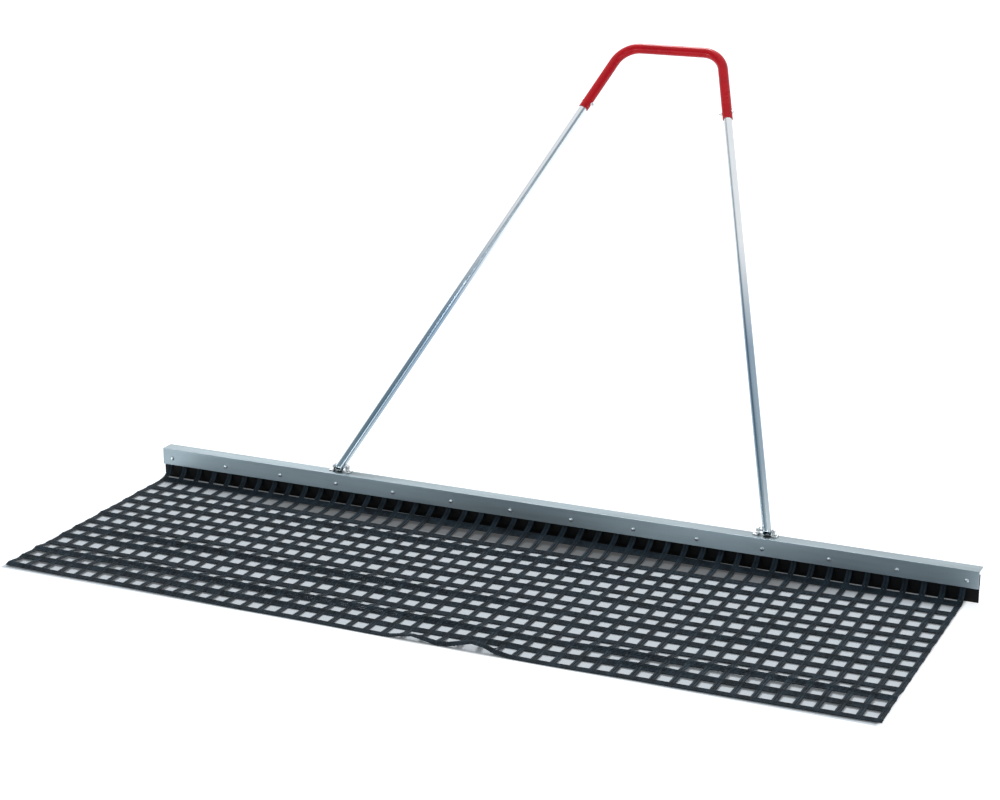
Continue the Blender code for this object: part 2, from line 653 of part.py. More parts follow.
def build_legs(pivot, parts, cutters, materials):
    """Straight tubes, each on its pivot bolt at the bottom and bolted into the grip at the top."""
    inner = LEG_RADIUS - LEG_WALL
    top = SLEEVE_END + LEG_INSERTION
    profile = ((LEG_RADIUS, top), (LEG_RADIUS, -LEG_OVERHANG), (inner, -LEG_OVERHANG), (inner, top))
    bolt_radius = PIVOT_BOLT_DIAMETER / 2 + HOLE_CLEARANCE
    feet = [(sign * PIVOT_SPREAD / 2, 0, 0) for sign in (-1, 1)]
    leg_holes = round_cutter(
        "leg_pivot_holes", feet, (1, 0, 0), bolt_radius, 2 * LEG_DIAMETER, cutters)
    place(leg_holes, Matrix.Identity(4), pivot)
    bolt_centre = SLEEVE_END + GRIP_BOLT_FROM_END
    outline = leg_outline(pivot, cutters)
    for side, sign in (("left", -1), ("right", 1)):
        frame = leg_frame(sign)
        leg = turned_object(f"leg_{side}", profile, TUBE_STEPS, parts, materials["tube"], closed=True)
        place(leg, frame, pivot)
        bolt_hole = round_cutter(
            f"grip_bolt_hole_{side}", [(0, 0, bolt_centre)], (1, 0, 0),
            GRIP_BOLT_DIAMETER / 2 + HOLE_CLEARANCE, 4 * GRIP_RADIUS, cutters)
        place(bolt_hole, frame, pivot)
        combine(leg, outline, "INTERSECT")
        combine(leg, leg_holes, "DIFFERENCE")
        combine(leg, bolt_hole, "DIFFERENCE")


def grip_path(extension):
    """Centre line of the grip in the handle's plane, drawn on past both sleeve ends."""
    turn = math.pi / 2 - SPLAY
    bend_start = GRIP_CORNER_SPREAD / 2 - GRIP_BEND_RADIUS * math.tan(turn / 2)
    centre_y = HANDLE_REACH - GRIP_BEND_RADIUS
    foot_x = PIVOT_SPREAD / 2 - (SLEEVE_END - extension) * math.sin(SPLAY)
    foot_y = (SLEEVE_END - extension) * math.cos(SPLAY)
    half = [(foot_x, foot_y)]
    for step in range(BEND_STEPS + 1):
        angle = math.pi / 2 - turn * (1 - step / BEND_STEPS)
        half.append(
            (bend_start + GRIP_BEND_RADIUS * math.cos(angle), centre_y + GRIP_BEND_RADIUS * math.sin(angle)))
    return [(-x, y) for x, y in half] + half[::-1]


def pipe_mesh(name, points, radius, collection):
    """A solid round bar along flat points, with closed ends."""
    curve = bpy.data.curves.new(name, "CURVE")
    curve.dimensions = "3D"
    curve.bevel_depth = radius
    curve.bevel_resolution = GRIP_BEVEL_RESOLUTION
    curve.use_fill_caps = True
    spline = curve.splines.new("POLY")
    spline.points.add(len(points) - 1)
    for target, point in zip(spline.points, points):
        target.co = (point[0], point[1], 0, 1)
    mesh = mesh_from_curve(name, curve, collection)
    shade(mesh)
    return mesh


def build_grip(pivot, parts, cutters, materials):
    """Bent red tube that joins the two legs, with a cross bolt and nut at each end."""
    grip = add_object("grip", pipe_mesh("grip", grip_path(0), GRIP_RADIUS, cutters), parts, materials["red"])
    bore_mesh = pipe_mesh("grip_bore", grip_path(CUTTER_MARGIN), GRIP_BORE_RADIUS, cutters)
    bore = add_object("grip_bore", bore_mesh, cutters)
    hide_as_guide(bore)
    for obj in (grip, bore):
        place(obj, Matrix.Identity(4), pivot)
    combine(grip, bore, "DIFFERENCE")
    grip_length = 2 * GRIP_RADIUS + SEAT_GAP + GRIP_NUT_HEIGHT + GRIP_BOLT_END
    for side, sign in (("left", -1), ("right", 1)):
        combine(grip, bpy.data.objects[f"grip_bolt_hole_{side}"], "DIFFERENCE")
        bolt, shank = build_bolt(
            f"grip_bolt_{side}", GRIP_BOLT_DIAMETER, GRIP_BOLT_FLATS, GRIP_BOLT_HEAD_HEIGHT,
            grip_length, parts, cutters, materials["zinc"])
        nut, nut_bore = build_nut(
            f"grip_nut_{side}", GRIP_BOLT_DIAMETER, GRIP_BOLT_FLATS, GRIP_NUT_HEIGHT, parts,
            cutters, materials["zinc"])
        across = Vector((1, 0, 0)).to_track_quat("Z", "Y").to_matrix().to_4x4()
        at_bolt = leg_frame(sign) @ Matrix.Translation((0, 0, SLEEVE_END + GRIP_BOLT_FROM_END))
        head_seat = Matrix.Translation((GRIP_RADIUS, 0, 0))
        nut_seat = Matrix.Translation((-GRIP_RADIUS - SEAT_GAP, 0, 0))
        for obj in (bolt, shank):
            place(obj, at_bolt @ head_seat @ across, pivot)
        for obj in (nut, nut_bore):
            place(obj, at_bolt @ nut_seat @ across, pivot)


def build_handle(parts, cutters, materials):
    """Everything that swings on the line through the two pivot bolts."""
    pivot = bpy.data.objects.new("handle_pivot", None)
    parts.objects.link(pivot)
    pivot.location = (0, PIVOT_Y, PIVOT_Z)
    pivot.rotation_euler = (HANDLE_LEAN, 0, 0)
    build_legs(pivot, parts, cutters, materials)
    build_grip(pivot, parts, cutters, materials)


def build_materials():
    return {
        "aluminium": make_material("mill aluminium", (0.42, 0.46, 0.48), 0.38, 1.0),
        "tube": make_material("bright drawn tube", (0.72, 0.75, 0.78), 0.22, 1.0),
        "zinc": make_material("zinc plated steel", (0.60, 0.62, 0.63), 0.35, 1.0),
        "rubber": make_material("black rubber", (0.012, 0.012, 0.014), 0.70, 0.0),
        "net": make_material("charcoal coated net", (0.030, 0.038, 0.045), 0.60, 0.0),
        "red": make_material("red gloss paint", (0.43, 0.012, 0.020), 0.22, 0.0),
    }


def main():
    clear_scene()
    parts = make_collection("court drag net")
    cutters = make_collection("cutters")
    materials = build_materials()
    centres = [(x, 0, RIVET_Z) for x in rivet_places()]
    rivet_hole_radius = RIVET_SHANK_DIAMETER / 2 + HOLE_CLEARANCE
    depth = 2 * (CLAMP_BACK - FACE_FRONT) + CUTTER_MARGIN
    rivet_holes = round_cutter("rivet_holes", centres, (0, 1, 0), rivet_hole_radius, depth, cutters)
    lug_holes = build_bar_angle(parts, cutters, materials["aluminium"], rivet_holes)
    build_flat_strip(
        "rubber_strip", STRIP_FRONT, STRIP_BACK, 0, FACE_BOTTOM + STRIP_CLAMPED_HEIGHT, parts,
        materials["rubber"], rivet_holes)
    build_flat_strip(
        "clamp_strip", CLAMP_FRONT, CLAMP_BACK, RIVET_Z - CLAMP_HEIGHT / 2, RIVET_Z + CLAMP_HEIGHT / 2,
        parts, materials["aluminium"], rivet_holes)
    build_net(parts, materials["net"], rivet_holes)
    build_face_rivets(parts, materials["zinc"])
    build_pivots(parts, cutters, materials, lug_holes)
    build_handle(parts, cutters, materials)
    bpy.context.view_layer.update()


main()
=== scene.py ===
"""Looks for the court drag net: its net, its finishes, and a plain pale studio.

Laid out as an add-on and run as a script. Sizes are in metres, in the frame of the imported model:
X along the bar, +Y from the net to the handle, +Z up, with the floor at height 0.
"""

import json
import math

import bmesh
import bpy
import numpy as np
from mathutils import Matrix, Vector


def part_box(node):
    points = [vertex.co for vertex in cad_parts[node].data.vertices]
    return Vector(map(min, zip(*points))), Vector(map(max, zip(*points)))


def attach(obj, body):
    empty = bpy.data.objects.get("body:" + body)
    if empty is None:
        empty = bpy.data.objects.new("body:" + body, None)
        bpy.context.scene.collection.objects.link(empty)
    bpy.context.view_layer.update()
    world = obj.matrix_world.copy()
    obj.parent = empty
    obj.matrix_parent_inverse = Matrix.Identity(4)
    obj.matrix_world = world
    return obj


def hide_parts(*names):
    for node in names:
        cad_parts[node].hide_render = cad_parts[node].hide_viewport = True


bl_info = {
    "name": "Court drag net",
    "version": (1, 0, 0),
    "blender": (4, 5, 0),
    "location": "View3D > Sidebar > Drag net",
    "description": "Dresses a drag net for levelling courts and sets up a plain studio",
    "category": "Object",
}

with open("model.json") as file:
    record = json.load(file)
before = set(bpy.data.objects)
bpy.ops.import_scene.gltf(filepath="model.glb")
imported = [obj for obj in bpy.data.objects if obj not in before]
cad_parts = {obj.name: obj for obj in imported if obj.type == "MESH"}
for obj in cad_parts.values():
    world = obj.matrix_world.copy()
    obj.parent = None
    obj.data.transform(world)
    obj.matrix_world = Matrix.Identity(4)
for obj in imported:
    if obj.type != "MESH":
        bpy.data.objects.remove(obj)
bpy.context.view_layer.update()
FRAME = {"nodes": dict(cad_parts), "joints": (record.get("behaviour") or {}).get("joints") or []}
MM = 0.001

BAR_LOW, BAR_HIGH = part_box("bar_angle")
STRIP_LOW, STRIP_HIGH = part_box("rubber_strip")
NET_LOW, NET_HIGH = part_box("net")
PIVOT = Vector(FRAME["joints"][0]["pos_m"])
FACE_FRONT = BAR_LOW.y
FACE_BOTTOM = BAR_LOW.z
FLANGE_TOP = BAR_HIGH.z
HALF_BAR = BAR_HIGH.x
BAR_WALL = 3 * MM
LUG_WALL = 2 * MM
SIDES = (("left", -1), ("right", 1))
# Vertices nearer to each other than this are one
MERGE_DISTANCE = 0.001 * MM
# Room between a head, nut or tail and what it seats on
SEAT_GAP = 0.3 * MM

# Face rivets: from the bar's end to the first one, and from the face's lower edge up to all of them
RIVET_COUNT = 14
RIVET_INSET = 25 * MM
RIVET_RISE = 16.5 * MM
RIVET_HOLE_RADIUS = 2.7 * MM

# Handle, as the frame has it: lean above the floor and splay of each leg in the handle's plane
LEAN = math.radians(50)
SPREAD = 1052 * MM
CORNER_SPREAD = 252.6 * MM
REACH = 1189 * MM
SPLAY = math.atan2((SPREAD - CORNER_SPREAD) / 2, REACH)
LEG_LINE = REACH / math.cos(SPLAY)
LEG_RADIUS = 10 * MM
LEG_WALL = 1.5 * MM
# A leg's foot: how far it goes on below the pivot, and how it is rounded
LEG_OVERHANG = 9.3 * MM
LEG_END_RADIUS = 10.5 * MM
PIVOT_HOLE_RADIUS = 3.3 * MM
# Where the grip's sleeve ends on a leg's line, and where its bolt passes through both
SLEEVE_END = LEG_LINE - 188 * MM
GRIP_BOLT_PLACE = SLEEVE_END + 18 * MM
GRIP_HOLE_RADIUS = 2.8 * MM

# Ripples that the net keeps from being rolled up. Each rises over one row of gaps and drops over the
# band beyond it: row counted from 0 at the bar, height, middle along the bar, half length
NET_RIPPLES = (
    (2, 2 * MM, 0, 2.5),
    (2, 4.5 * MM, -0.25, 0.60),
    (2, 1.5 * MM, 0.12, 0.20),
    (3, 2.5 * MM, -0.35, 0.95),
    (3, 2.5 * MM, 0.18, 0.32),
    (4, 1 * MM, -0.20, 0.80),
    (5, 3.2 * MM, 0, 2.5),
    (6, 0.8 * MM, -0.10, 0.60),
    (7, 3 * MM, 0, 1.6),
    (7, 5 * MM, -0.70, 0.40),
    (7, 5 * MM, -0.25, 0.38),
    (7, 2.5 * MM, 0.05, 0.15),
    (7, 2.5 * MM, 0.60, 0.20),
    (8, 2.8 * MM, 0.05, 1.10),
    (8, 3.5 * MM, -0.84, 0.30),
    (8, 2.5 * MM, -0.70, 0.13),
    (8, 4 * MM, -0.27, 0.25),
    (9, 1.2 * MM, -0.20, 0.60),
    (10, 2 * MM, 0, 2.5),
    (10, 5 * MM, -0.55, 0.90),
    (10, 3.5 * MM, -0.08, 0.45),
    (10, 4.5 * MM, 0.66, 0.62),
    (10, 2.5 * MM, 0.40, 0.14),
    (11, 1.5 * MM, 0, 2.5),
    (11, 1.5 * MM, -0.66, 0.75),
    (11, 2 * MM, -0.30, 0.30),
    (11, 3 * MM, 0.165, 0.12),
    (11, 4.5 * MM, 0.48, 0.16),
    (12, 1.2 * MM, 0, 2.5),
    (12, 3.5 * MM, -0.98, 0.12),
    (12, 3 * MM, -0.55, 0.20),
    (12, 4.5 * MM, 0.12, 0.14),
)
# Broad swells under several rows: distance from the bar, height, half width, middle, half length
NET_SWELLS = (
    (590 * MM, 3.5 * MM, 75 * MM, 0.70, 0.50),
    (600 * MM, 3 * MM, 80 * MM, -0.75, 0.50),
)
# Places where the front edge stands off the floor: height, middle along the bar, half length
NET_FRONT_LIFTS = (
    (10 * MM, 0.003, 0.060),
    (14 * MM, 0.141, 0.070),
)
NET_END_RISE = 1.5 * MM

# Painted reflection on the bar's upright faces: how bright it is along the bar, from its left end to its
# right, as a share of its brightest
FACE_REFLECTION_ALONG = (
    (0.0, 0.46), (0.1, 0.68), (0.2, 0.58), (0.33, 0.58), (0.45, 0.36),
    (0.56, 0.45), (0.70, 0.95), (0.80, 0.58), (0.87, 0.45), (1.0, 0.54),
)
FACE_REFLECTION_PEAK = 1.8

# Settings that several shader nodes share
MIX_COLOURS = {"data_type": "RGBA"}
MULTIPLY_COLOURS = {"data_type": "RGBA", "blend_type": "MULTIPLY"}
SMOOTH_STEP = {"interpolation_type": "SMOOTHSTEP"}
LARGER = {"operation": "MAXIMUM"}
PRODUCT = {"operation": "MULTIPLY"}
DIFFERENCE = {"operation": "SUBTRACT"}


def srgb(hex_colour):
    """Linear colour of a six-digit sRGB hex value."""
    channels = [int(hex_colour[i:i + 2], 16) / 255 for i in (0, 2, 4)]
    return tuple(c / 12.92 if c <= 0.04045 else ((c + 0.055) / 1.055) ** 2.4 for c in channels)


def colour_property(name, description, hex_colour):
    return bpy.props.FloatVectorProperty(
        name=name, description=description, subtype="COLOR", size=3, min=0, max=1,
        default=srgb(hex_colour))


def length_property(name, description, default):
    return bpy.props.FloatProperty(
        name=name, description=description, subtype="DISTANCE", unit="LENGTH", min=0,
        precision=4, default=default)


class DragNetFinishes(bpy.types.PropertyGroup):
    """Colours of the finishes."""

    aluminium: colour_property("Aluminium", "Mill-finished angle of the bar", "A2B1B8")
    tube: colour_property("Tube", "Bright drawn tube of the legs", "E4E9ED")
    zinc: colour_property("Zinc", "Zinc plating of the lugs, bolts and nuts", "DDE1E3")
    rivet: colour_property("Rivet", "Aluminium of the rivet heads", "C8D0D5")
    rubber: colour_property("Rubber", "Black rubber of the strip", "030304")
    net: colour_property("Net", "Charcoal coating of the net's cords", "212C34")
    grip: colour_property("Grip", "Red gloss coat of the grip", "DC1322")


class DragNetMesh(bpy.types.PropertyGroup):
    """Sizes of the net."""

    gaps_across: bpy.props.IntProperty(
        name="Gaps across", description="Gaps of the mesh along the bar", min=2, default=47)
    gaps_out: bpy.props.IntProperty(
        name="Gaps out", description="Gaps of the mesh out from the bar", min=2, default=13)
    pitch_across: length_property("Pitch across", "From one gap to the next along the bar", 41.5 * MM)
    pitch_out: length_property("Pitch out", "From one gap to the next out from the bar", 52.4 * MM)
    gap_length: length_property("Gap length", "Length of a gap out from the bar", 34.6 * MM)
    side_shift: bpy.props.FloatProperty(
        name="Side shift", description="How far towards +X the net's middle lies from the bar's middle",
        subtype="DISTANCE", unit="LENGTH", precision=4, default=-9.4 * MM)
    side_bow: length_property("Side bow", "How much further towards +X the middle strands lie", 7 * MM)
    strand: length_property("Strand", "Width of a flat cord that runs out from the bar", 6.7 * MM)
    strand_spread: length_property("Strand spread", "Between the two cords of a pair", 6.7 * MM)
    band_cords: bpy.props.IntProperty(
        name="Band cords", description="Cords side by side in each band along the bar", min=1, default=5)
    front_cords: bpy.props.IntProperty(
        name="Front cords", description="Cords side by side in the front band", min=1, default=4)
    thickness: length_property("Thickness", "Thickness of the flat cords", 3 * MM)
    weave: length_property("Weave", "How far a strand goes over and under the bands", 0.1 * MM)
    lean: bpy.props.FloatProperty(
        name="Lean", description="How far the strands lean to +X for each metre out from the bar",
        default=0.01)


class DragNetStudio(bpy.types.PropertyGroup):
    """Light and floor of the studio."""

    floor: colour_property("Floor", "Pale floor", "C2CAD1")
    room: colour_property("Room", "Side of the room behind the camera, as metal shows it", "8297A2")
    sun: bpy.props.FloatProperty(
        name="Key light", description="Strength of the soft light from behind and above", min=0, default=1.7)
    sky: bpy.props.FloatProperty(
        name="Sky", description="Strength of the even light from all round", subtype="FACTOR",
        min=0, max=2, default=0.55)


def set_sockets(tree, node, values=None, links=None):
    """Gives a node its socket values and its incoming links.

    A link starts at an output, or at a node, and then from the node's first output in use.
    """
    for socket, value in (values or {}).items():
        node.inputs[socket].default_value = value
    for socket, source in (links or {}).items():
        if isinstance(source, bpy.types.Node):
            source = next(output for output in source.outputs if output.enabled)
        tree.links.new(source, node.inputs[socket])


def add_node(tree, kind, settings=None, values=None, links=None):
    """One shader node with its settings, its socket values and its incoming links."""
    node = tree.nodes.new(kind)
    for name, value in (settings or {}).items():
        setattr(node, name, value)
    set_sockets(tree, node, values, links)
    return node


def new_material(name):
    """A material with a plain Principled shader, and its tree and shader."""
    material = bpy.data.materials.new(name)
    material.use_nodes = True
    tree = material.node_tree
    return material, tree, tree.nodes["Principled BSDF"]


def ramp_colours(node, stops):
    """Sets a colour ramp from (position, colour) stops."""
    elements = node.color_ramp.elements
    while len(elements) > len(stops):
        elements.remove(elements[-1])
    while len(elements) < len(stops):
        elements.new(0.5)
    for element, (position, colour) in zip(elements, stops):
        element.position = position
        element.color = (*colour, 1)


def shaded(colour, factor):
    return tuple(min(1, channel * factor) for channel in colour)


def set_finish(tree, shader, colour, rough, relief=None, values=None):
    """Links a colour, a roughness and a fine relief to a shader, and sets its other sockets.

    rough is a pattern with the roughness at its lowest and at its highest, and relief a pattern with
    its strength and its depth.
    """
    pattern, low, high = rough
    links = {"Base Color": colour}
    links["Roughness"] = add_node(
        tree, "ShaderNodeMapRange", values={"To Min": low, "To Max": high}, links={"Value": pattern})
    if relief:
        pattern, strength, depth = relief
        links["Normal"] = add_node(
            tree, "ShaderNodeBump", values={"Strength": strength, "Distance": depth},
            links={"Height": pattern})
    set_sockets(tree, shader, values, links)


def aluminium_extrusion(colour):
    """Aluminium angle as it leaves the press: drawn lines along X, a dull bloom, a few rubs; a painted
    reflection along its upright faces and painted shade on its upper ones.
    """
    material, tree, shader = new_material("extruded aluminium, mill finish")
    coordinates = add_node(tree, "ShaderNodeTexCoord")
    place = coordinates.outputs["Object"]
    # Press lines are 0.2 to 1 mm apart; drawn at about 1.5 mm so that they show in the render
    along = add_node(tree, "ShaderNodeMapping", values={"Scale": (1.2, 650, 650)}, links={"Vector": place})
    lines = add_node(
        tree, "ShaderNodeTexNoise", values={"Scale": 1, "Detail": 3, "Roughness": 0.6},
        links={"Vector": along})
    # Streaks of bloom are about 15 mm wide and 0.3 m long
    wide = add_node(tree, "ShaderNodeMapping", values={"Scale": (3.5, 60, 60)}, links={"Vector": place})
    tone = add_node(
        tree, "ShaderNodeTexNoise", values={"Scale": 1, "Detail": 4, "Roughness": 0.55},
        links={"Vector": wide})
    tint = add_node(tree, "ShaderNodeValToRGB", links={"Fac": tone})
    ramp_colours(tint, ((0.3, shaded(colour, 0.92)), (0.7, shaded(colour, 1.08))))
    # Faces that look up are painted darker: a painted shade that holds down the light they catch from above
    up = add_node(tree, "ShaderNodeSeparateXYZ", links={"Vector": coordinates.outputs["Normal"]}).outputs["Z"]
    upper = add_node(
        tree, "ShaderNodeMapRange", values={"From Min": 0.5, "From Max": 0.9, "To Min": 1, "To Max": 0.70},
        links={"Value": up})
    tops_painted_darker = add_node(
        tree, "ShaderNodeMix", settings=MULTIPLY_COLOURS, values={"Factor": 1}, links={"A": tint, "B": upper})
    # On upright faces a painted reflection comes and goes along the bar: the colour is brightened and
    # darkened in long patches, where the face would show brighter and darker parts of the room
    x = add_node(tree, "ShaderNodeSeparateXYZ", links={"Vector": place}).outputs["X"]
    along_bar = add_node(
        tree, "ShaderNodeMapRange", values={"From Min": -1, "From Max": 1}, links={"Value": x})
    patches = add_node(tree, "ShaderNodeValToRGB", links={"Fac": along_bar})
    patches.color_ramp.interpolation = "B_SPLINE"
    ramp_colours(patches, [(at, (level,) * 3) for at, level in FACE_REFLECTION_ALONG])
    painted_reflection = add_node(
        tree, "ShaderNodeVectorMath", settings=PRODUCT, values={1: (FACE_REFLECTION_PEAK,) * 3},
        links={0: patches})
    upright = add_node(
        tree, "ShaderNodeMapRange", values={"From Min": 0.3, "From Max": 0.7, "To Min": 1, "To Max": 0},
        links={"Value": up})
    reflected_colour = add_node(
        tree, "ShaderNodeMix", settings=MULTIPLY_COLOURS,
        links={"Factor": upright, "A": tops_painted_darker, "B": painted_reflection})
    streaks = add_node(
        tree, "ShaderNodeMix", settings=MULTIPLY_COLOURS, values={"Factor": 0.16},
        links={"A": reflected_colour, "B": lines.outputs["Color"]})
    set_finish(
        tree, shader, colour=streaks, rough=(tone, 0.34, 0.50), relief=(lines, 0.10, 0.05 * MM),
        values={"Metallic": 1})
    return material


def drawn_tube(colour):
    """Bright drawn aluminium tube: smooth, with faint die lines along it, from the UV map in metres."""
    material, tree, shader = new_material("bright drawn aluminium tube")
    place = add_node(tree, "ShaderNodeUVMap", settings={"uv_map": "tube"})
    # Die lines about 0.6 mm apart round the tube, some decimetres long
    drawn = add_node(tree, "ShaderNodeMapping", values={"Scale": (1600, 4, 1)}, links={"Vector": place})
    lines = add_node(
        tree, "ShaderNodeTexNoise", values={"Scale": 1, "Detail": 3, "Roughness": 0.6},
        links={"Vector": drawn})
    # Clouds from handling are about 15 mm round the tube and 70 mm along it
    patches = add_node(tree, "ShaderNodeMapping", values={"Scale": (60, 14, 1)}, links={"Vector": place})
    cloud = add_node(
        tree, "ShaderNodeTexNoise", values={"Scale": 1, "Detail": 3}, links={"Vector": patches})
    tint = add_node(tree, "ShaderNodeValToRGB", links={"Fac": cloud})
    ramp_colours(tint, ((0.3, shaded(colour, 0.95)), (0.7, colour)))
    # The lower part of each leg is tinted darker and blue-grey: a painted reflection of the grey room; the
    # map's Y is the way up the leg in metres
    height = add_node(tree, "ShaderNodeSeparateXYZ", links={"Vector": place}).outputs["Y"]
    tone = add_node(tree, "ShaderNodeValToRGB", links={"Fac": height})
    ramp_colours(tone, (
        (0.0, srgb("D8E0E4")), (0.16, srgb("A9B9C4")), (0.45, srgb("A3B4C3")), (0.72, srgb("FFFFFF"))))
    reflection_tinted = add_node(
        tree, "ShaderNodeMix", settings=MULTIPLY_COLOURS, values={"Factor": 1}, links={"A": tint, "B": tone})
    set_finish(
        tree, shader, colour=reflection_tinted, rough=(cloud, 0.13, 0.24), relief=(lines, 0.06, 0.03 * MM),
        values={"Metallic": 1})
    return material


def zinc_plate(colour):
    """Zinc-plated steel: bright but cloudy, with a fine grain."""
    material, tree, shader = new_material("zinc-plated steel")
    place = add_node(tree, "ShaderNodeTexCoord").outputs["Object"]
    # Plating clouds are about 5 mm across, its grain 0.5 mm
    cloud = add_node(tree, "ShaderNodeTexNoise", values={"Scale": 200, "Detail": 4}, links={"Vector": place})
    grain = add_node(tree, "ShaderNodeTexNoise", values={"Scale": 2000, "Detail": 2}, links={"Vector": place})
    tint = add_node(tree, "ShaderNodeValToRGB", links={"Fac": cloud})
    ramp_colours(tint, ((0.3, shaded(colour, 0.82)), (0.7, shaded(colour, 1.08))))
    set_finish(
        tree, shader, colour=tint, rough=(cloud, 0.36, 0.52), relief=(grain, 0.12, 0.05 * MM),
        values={"Metallic": 1})
    return material


def rivet_aluminium(colour):
    """Set rivet head: smooth where the tool pressed it, with a grain about 1 mm across."""
    material, tree, shader = new_material("pressed rivet aluminium")
    place = add_node(tree, "ShaderNodeTexCoord").outputs["Object"]
    grain = add_node(tree, "ShaderNodeTexNoise", values={"Scale": 900, "Detail": 3}, links={"Vector": place})
    tint = add_node(tree, "ShaderNodeValToRGB", links={"Fac": grain})
    ramp_colours(tint, ((0.3, shaded(colour, 0.9)), (0.7, shaded(colour, 1.04))))
    set_finish(tree, shader, colour=tint, rough=(grain, 0.26, 0.40), values={"Metallic": 1})
    return material


def black_rubber(colour):
    """Sheet rubber: matt black, faint calender marks, pale court dust on its lowest centimetre."""
    material, tree, shader = new_material("sheet rubber, matt black")
    place = add_node(tree, "ShaderNodeTexCoord").outputs["Object"]
    # Calender marks about 1 mm across
    marks = add_node(tree, "ShaderNodeTexNoise", values={"Scale": 900, "Detail": 3}, links={"Vector": place})
    # Smears of dust about 170 mm long, 25 mm deep and 11 mm high
    smear = add_node(tree, "ShaderNodeMapping", values={"Scale": (6, 40, 90)}, links={"Vector": place})
    patch = add_node(
        tree, "ShaderNodeTexNoise", values={"Scale": 1, "Detail": 5}, links={"Vector": smear})
    height = add_node(tree, "ShaderNodeSeparateXYZ", links={"Vector": place}).outputs["Z"]
    low = add_node(
        tree, "ShaderNodeMapRange",
        values={"From Min": 0.0, "From Max": 8 * MM, "To Min": 0.10, "To Max": 0.0}, links={"Value": height})
    dust = add_node(tree, "ShaderNodeMath", settings=PRODUCT, links={0: low, 1: patch})
    dusty = add_node(
        tree, "ShaderNodeMix", settings=MIX_COLOURS, values={"A": (*colour, 1), "B": (*srgb("5D564C"), 1)},
        links={"Factor": dust})
    set_finish(
        tree, shader, colour=dusty, rough=(patch, 0.48, 0.68), relief=(marks, 0.2, 0.1 * MM),
        values={"Specular IOR Level": 0.15})
    return material


def coated_cord(colour, cord_length):
    """Plastic-coated twisted cord: satin charcoal, the twist showing through, a bluish bloom."""
    material, tree, shader = new_material("plastic-coated polyester cord, charcoal")
    along = add_node(tree, "ShaderNodeUVMap", settings={"uv_map": "UVMap"})
    # The twist repeats every 7 mm along the cord and goes once round it
    turns = cord_length / (7 * MM)
    lay = add_node(tree, "ShaderNodeMapping", values={"Scale": (turns, 3, 1)}, links={"Vector": along})
    twist = add_node(
        tree, "ShaderNodeTexWave", settings={"bands_direction": "DIAGONAL"},
        values={"Scale": 1, "Distortion": 0.4}, links={"Vector": lay})
    place = add_node(tree, "ShaderNodeTexCoord").outputs["Object"]
    # Patches of bloom about 25 mm across, and a grain of 0.7 mm
    tone = add_node(tree, "ShaderNodeTexNoise", values={"Scale": 40, "Detail": 5}, links={"Vector": place})
    grain = add_node(tree, "ShaderNodeTexNoise", values={"Scale": 1400, "Detail": 2}, links={"Vector": place})
    tint = add_node(tree, "ShaderNodeValToRGB", links={"Fac": tone})
    ramp_colours(tint, ((0.35, shaded(colour, 0.6)), (0.65, shaded(colour, 1.5))))
    set_finish(
        tree, shader, colour=tint, rough=(grain, 0.5, 0.7), relief=(twist.outputs["Fac"], 0.4, 0.3 * MM),
        values={"Specular IOR Level": 0.08})
    return material


def red_gloss(colour):
    """Powder coat in red gloss: a clear top over the colour and a slight orange peel."""
    material, tree, shader = new_material("red gloss powder coat")
    place = add_node(tree, "ShaderNodeTexCoord").outputs["Object"]
    # Orange peel about 2 mm across, and rubbed patches about 35 mm across
    peel = add_node(tree, "ShaderNodeTexNoise", values={"Scale": 450, "Detail": 1}, links={"Vector": place})
    rub = add_node(tree, "ShaderNodeTexNoise", values={"Scale": 28, "Detail": 5}, links={"Vector": place})
    tint = add_node(tree, "ShaderNodeValToRGB", links={"Fac": rub})
    ramp_colours(tint, ((0.3, shaded(colour, 0.9)), (0.7, shaded(colour, 1.06))))
    set_finish(
        tree, shader, colour=tint, rough=(rub, 0.20, 0.34), relief=(peel, 0.05, 0.1 * MM),
        values={"Specular IOR Level": 0.18, "Coat Weight": 0.12, "Coat Roughness": 0.08})
    return material


def finish_nodes(names, material):
    """Gives frame nodes, whose shape stays, their finish."""
    for name in names:
        node = FRAME["nodes"][name]
        for slot in node.material_slots:
            slot.material = material


def new_piece(name, mesh, material, body, nodes, angle=35):
    """A finished mesh as a piece that rides on a body and stands for frame nodes."""
    piece = bpy.data.objects.new(name, mesh)
    bpy.context.scene.collection.objects.link(piece)
    mesh.materials.clear()
    mesh.materials.append(material)
    mesh.shade_smooth()
    mesh.set_sharp_from_angle(angle=math.radians(angle))
    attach(piece, body)
    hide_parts(*nodes)
    return piece


def mesh_from(name, shape):
    mesh = bpy.data.meshes.new(name)
    shape.to_mesh(mesh)
    shape.free()
    return mesh


def joined_mesh(name, meshes):
    shape = bmesh.new()
    for mesh in meshes:
        shape.from_mesh(mesh)
    return mesh_from(name, shape)


def cut_mesh(name, mesh, cutters, operation="DIFFERENCE"):
    """A mesh after exact Booleans with other meshes, which all lie in the same place."""
    target = bpy.data.objects.new(name, mesh)
    bpy.context.scene.collection.objects.link(target)
    helpers = []
    for cutter in cutters:
        helper = bpy.data.objects.new("cutter", cutter)
        bpy.context.scene.collection.objects.link(helper)
        helpers.append(helper)
        boolean = target.modifiers.new("cut", "BOOLEAN")
        boolean.operation = operation
        boolean.solver = "EXACT"
        boolean.object = helper
    bpy.context.view_layer.update()
    result = bpy.data.meshes.new_from_object(target.evaluated_get(bpy.context.evaluated_depsgraph_get()))
    for obj in [target] + helpers:
        bpy.data.objects.remove(obj)
    result.name = name
    return result


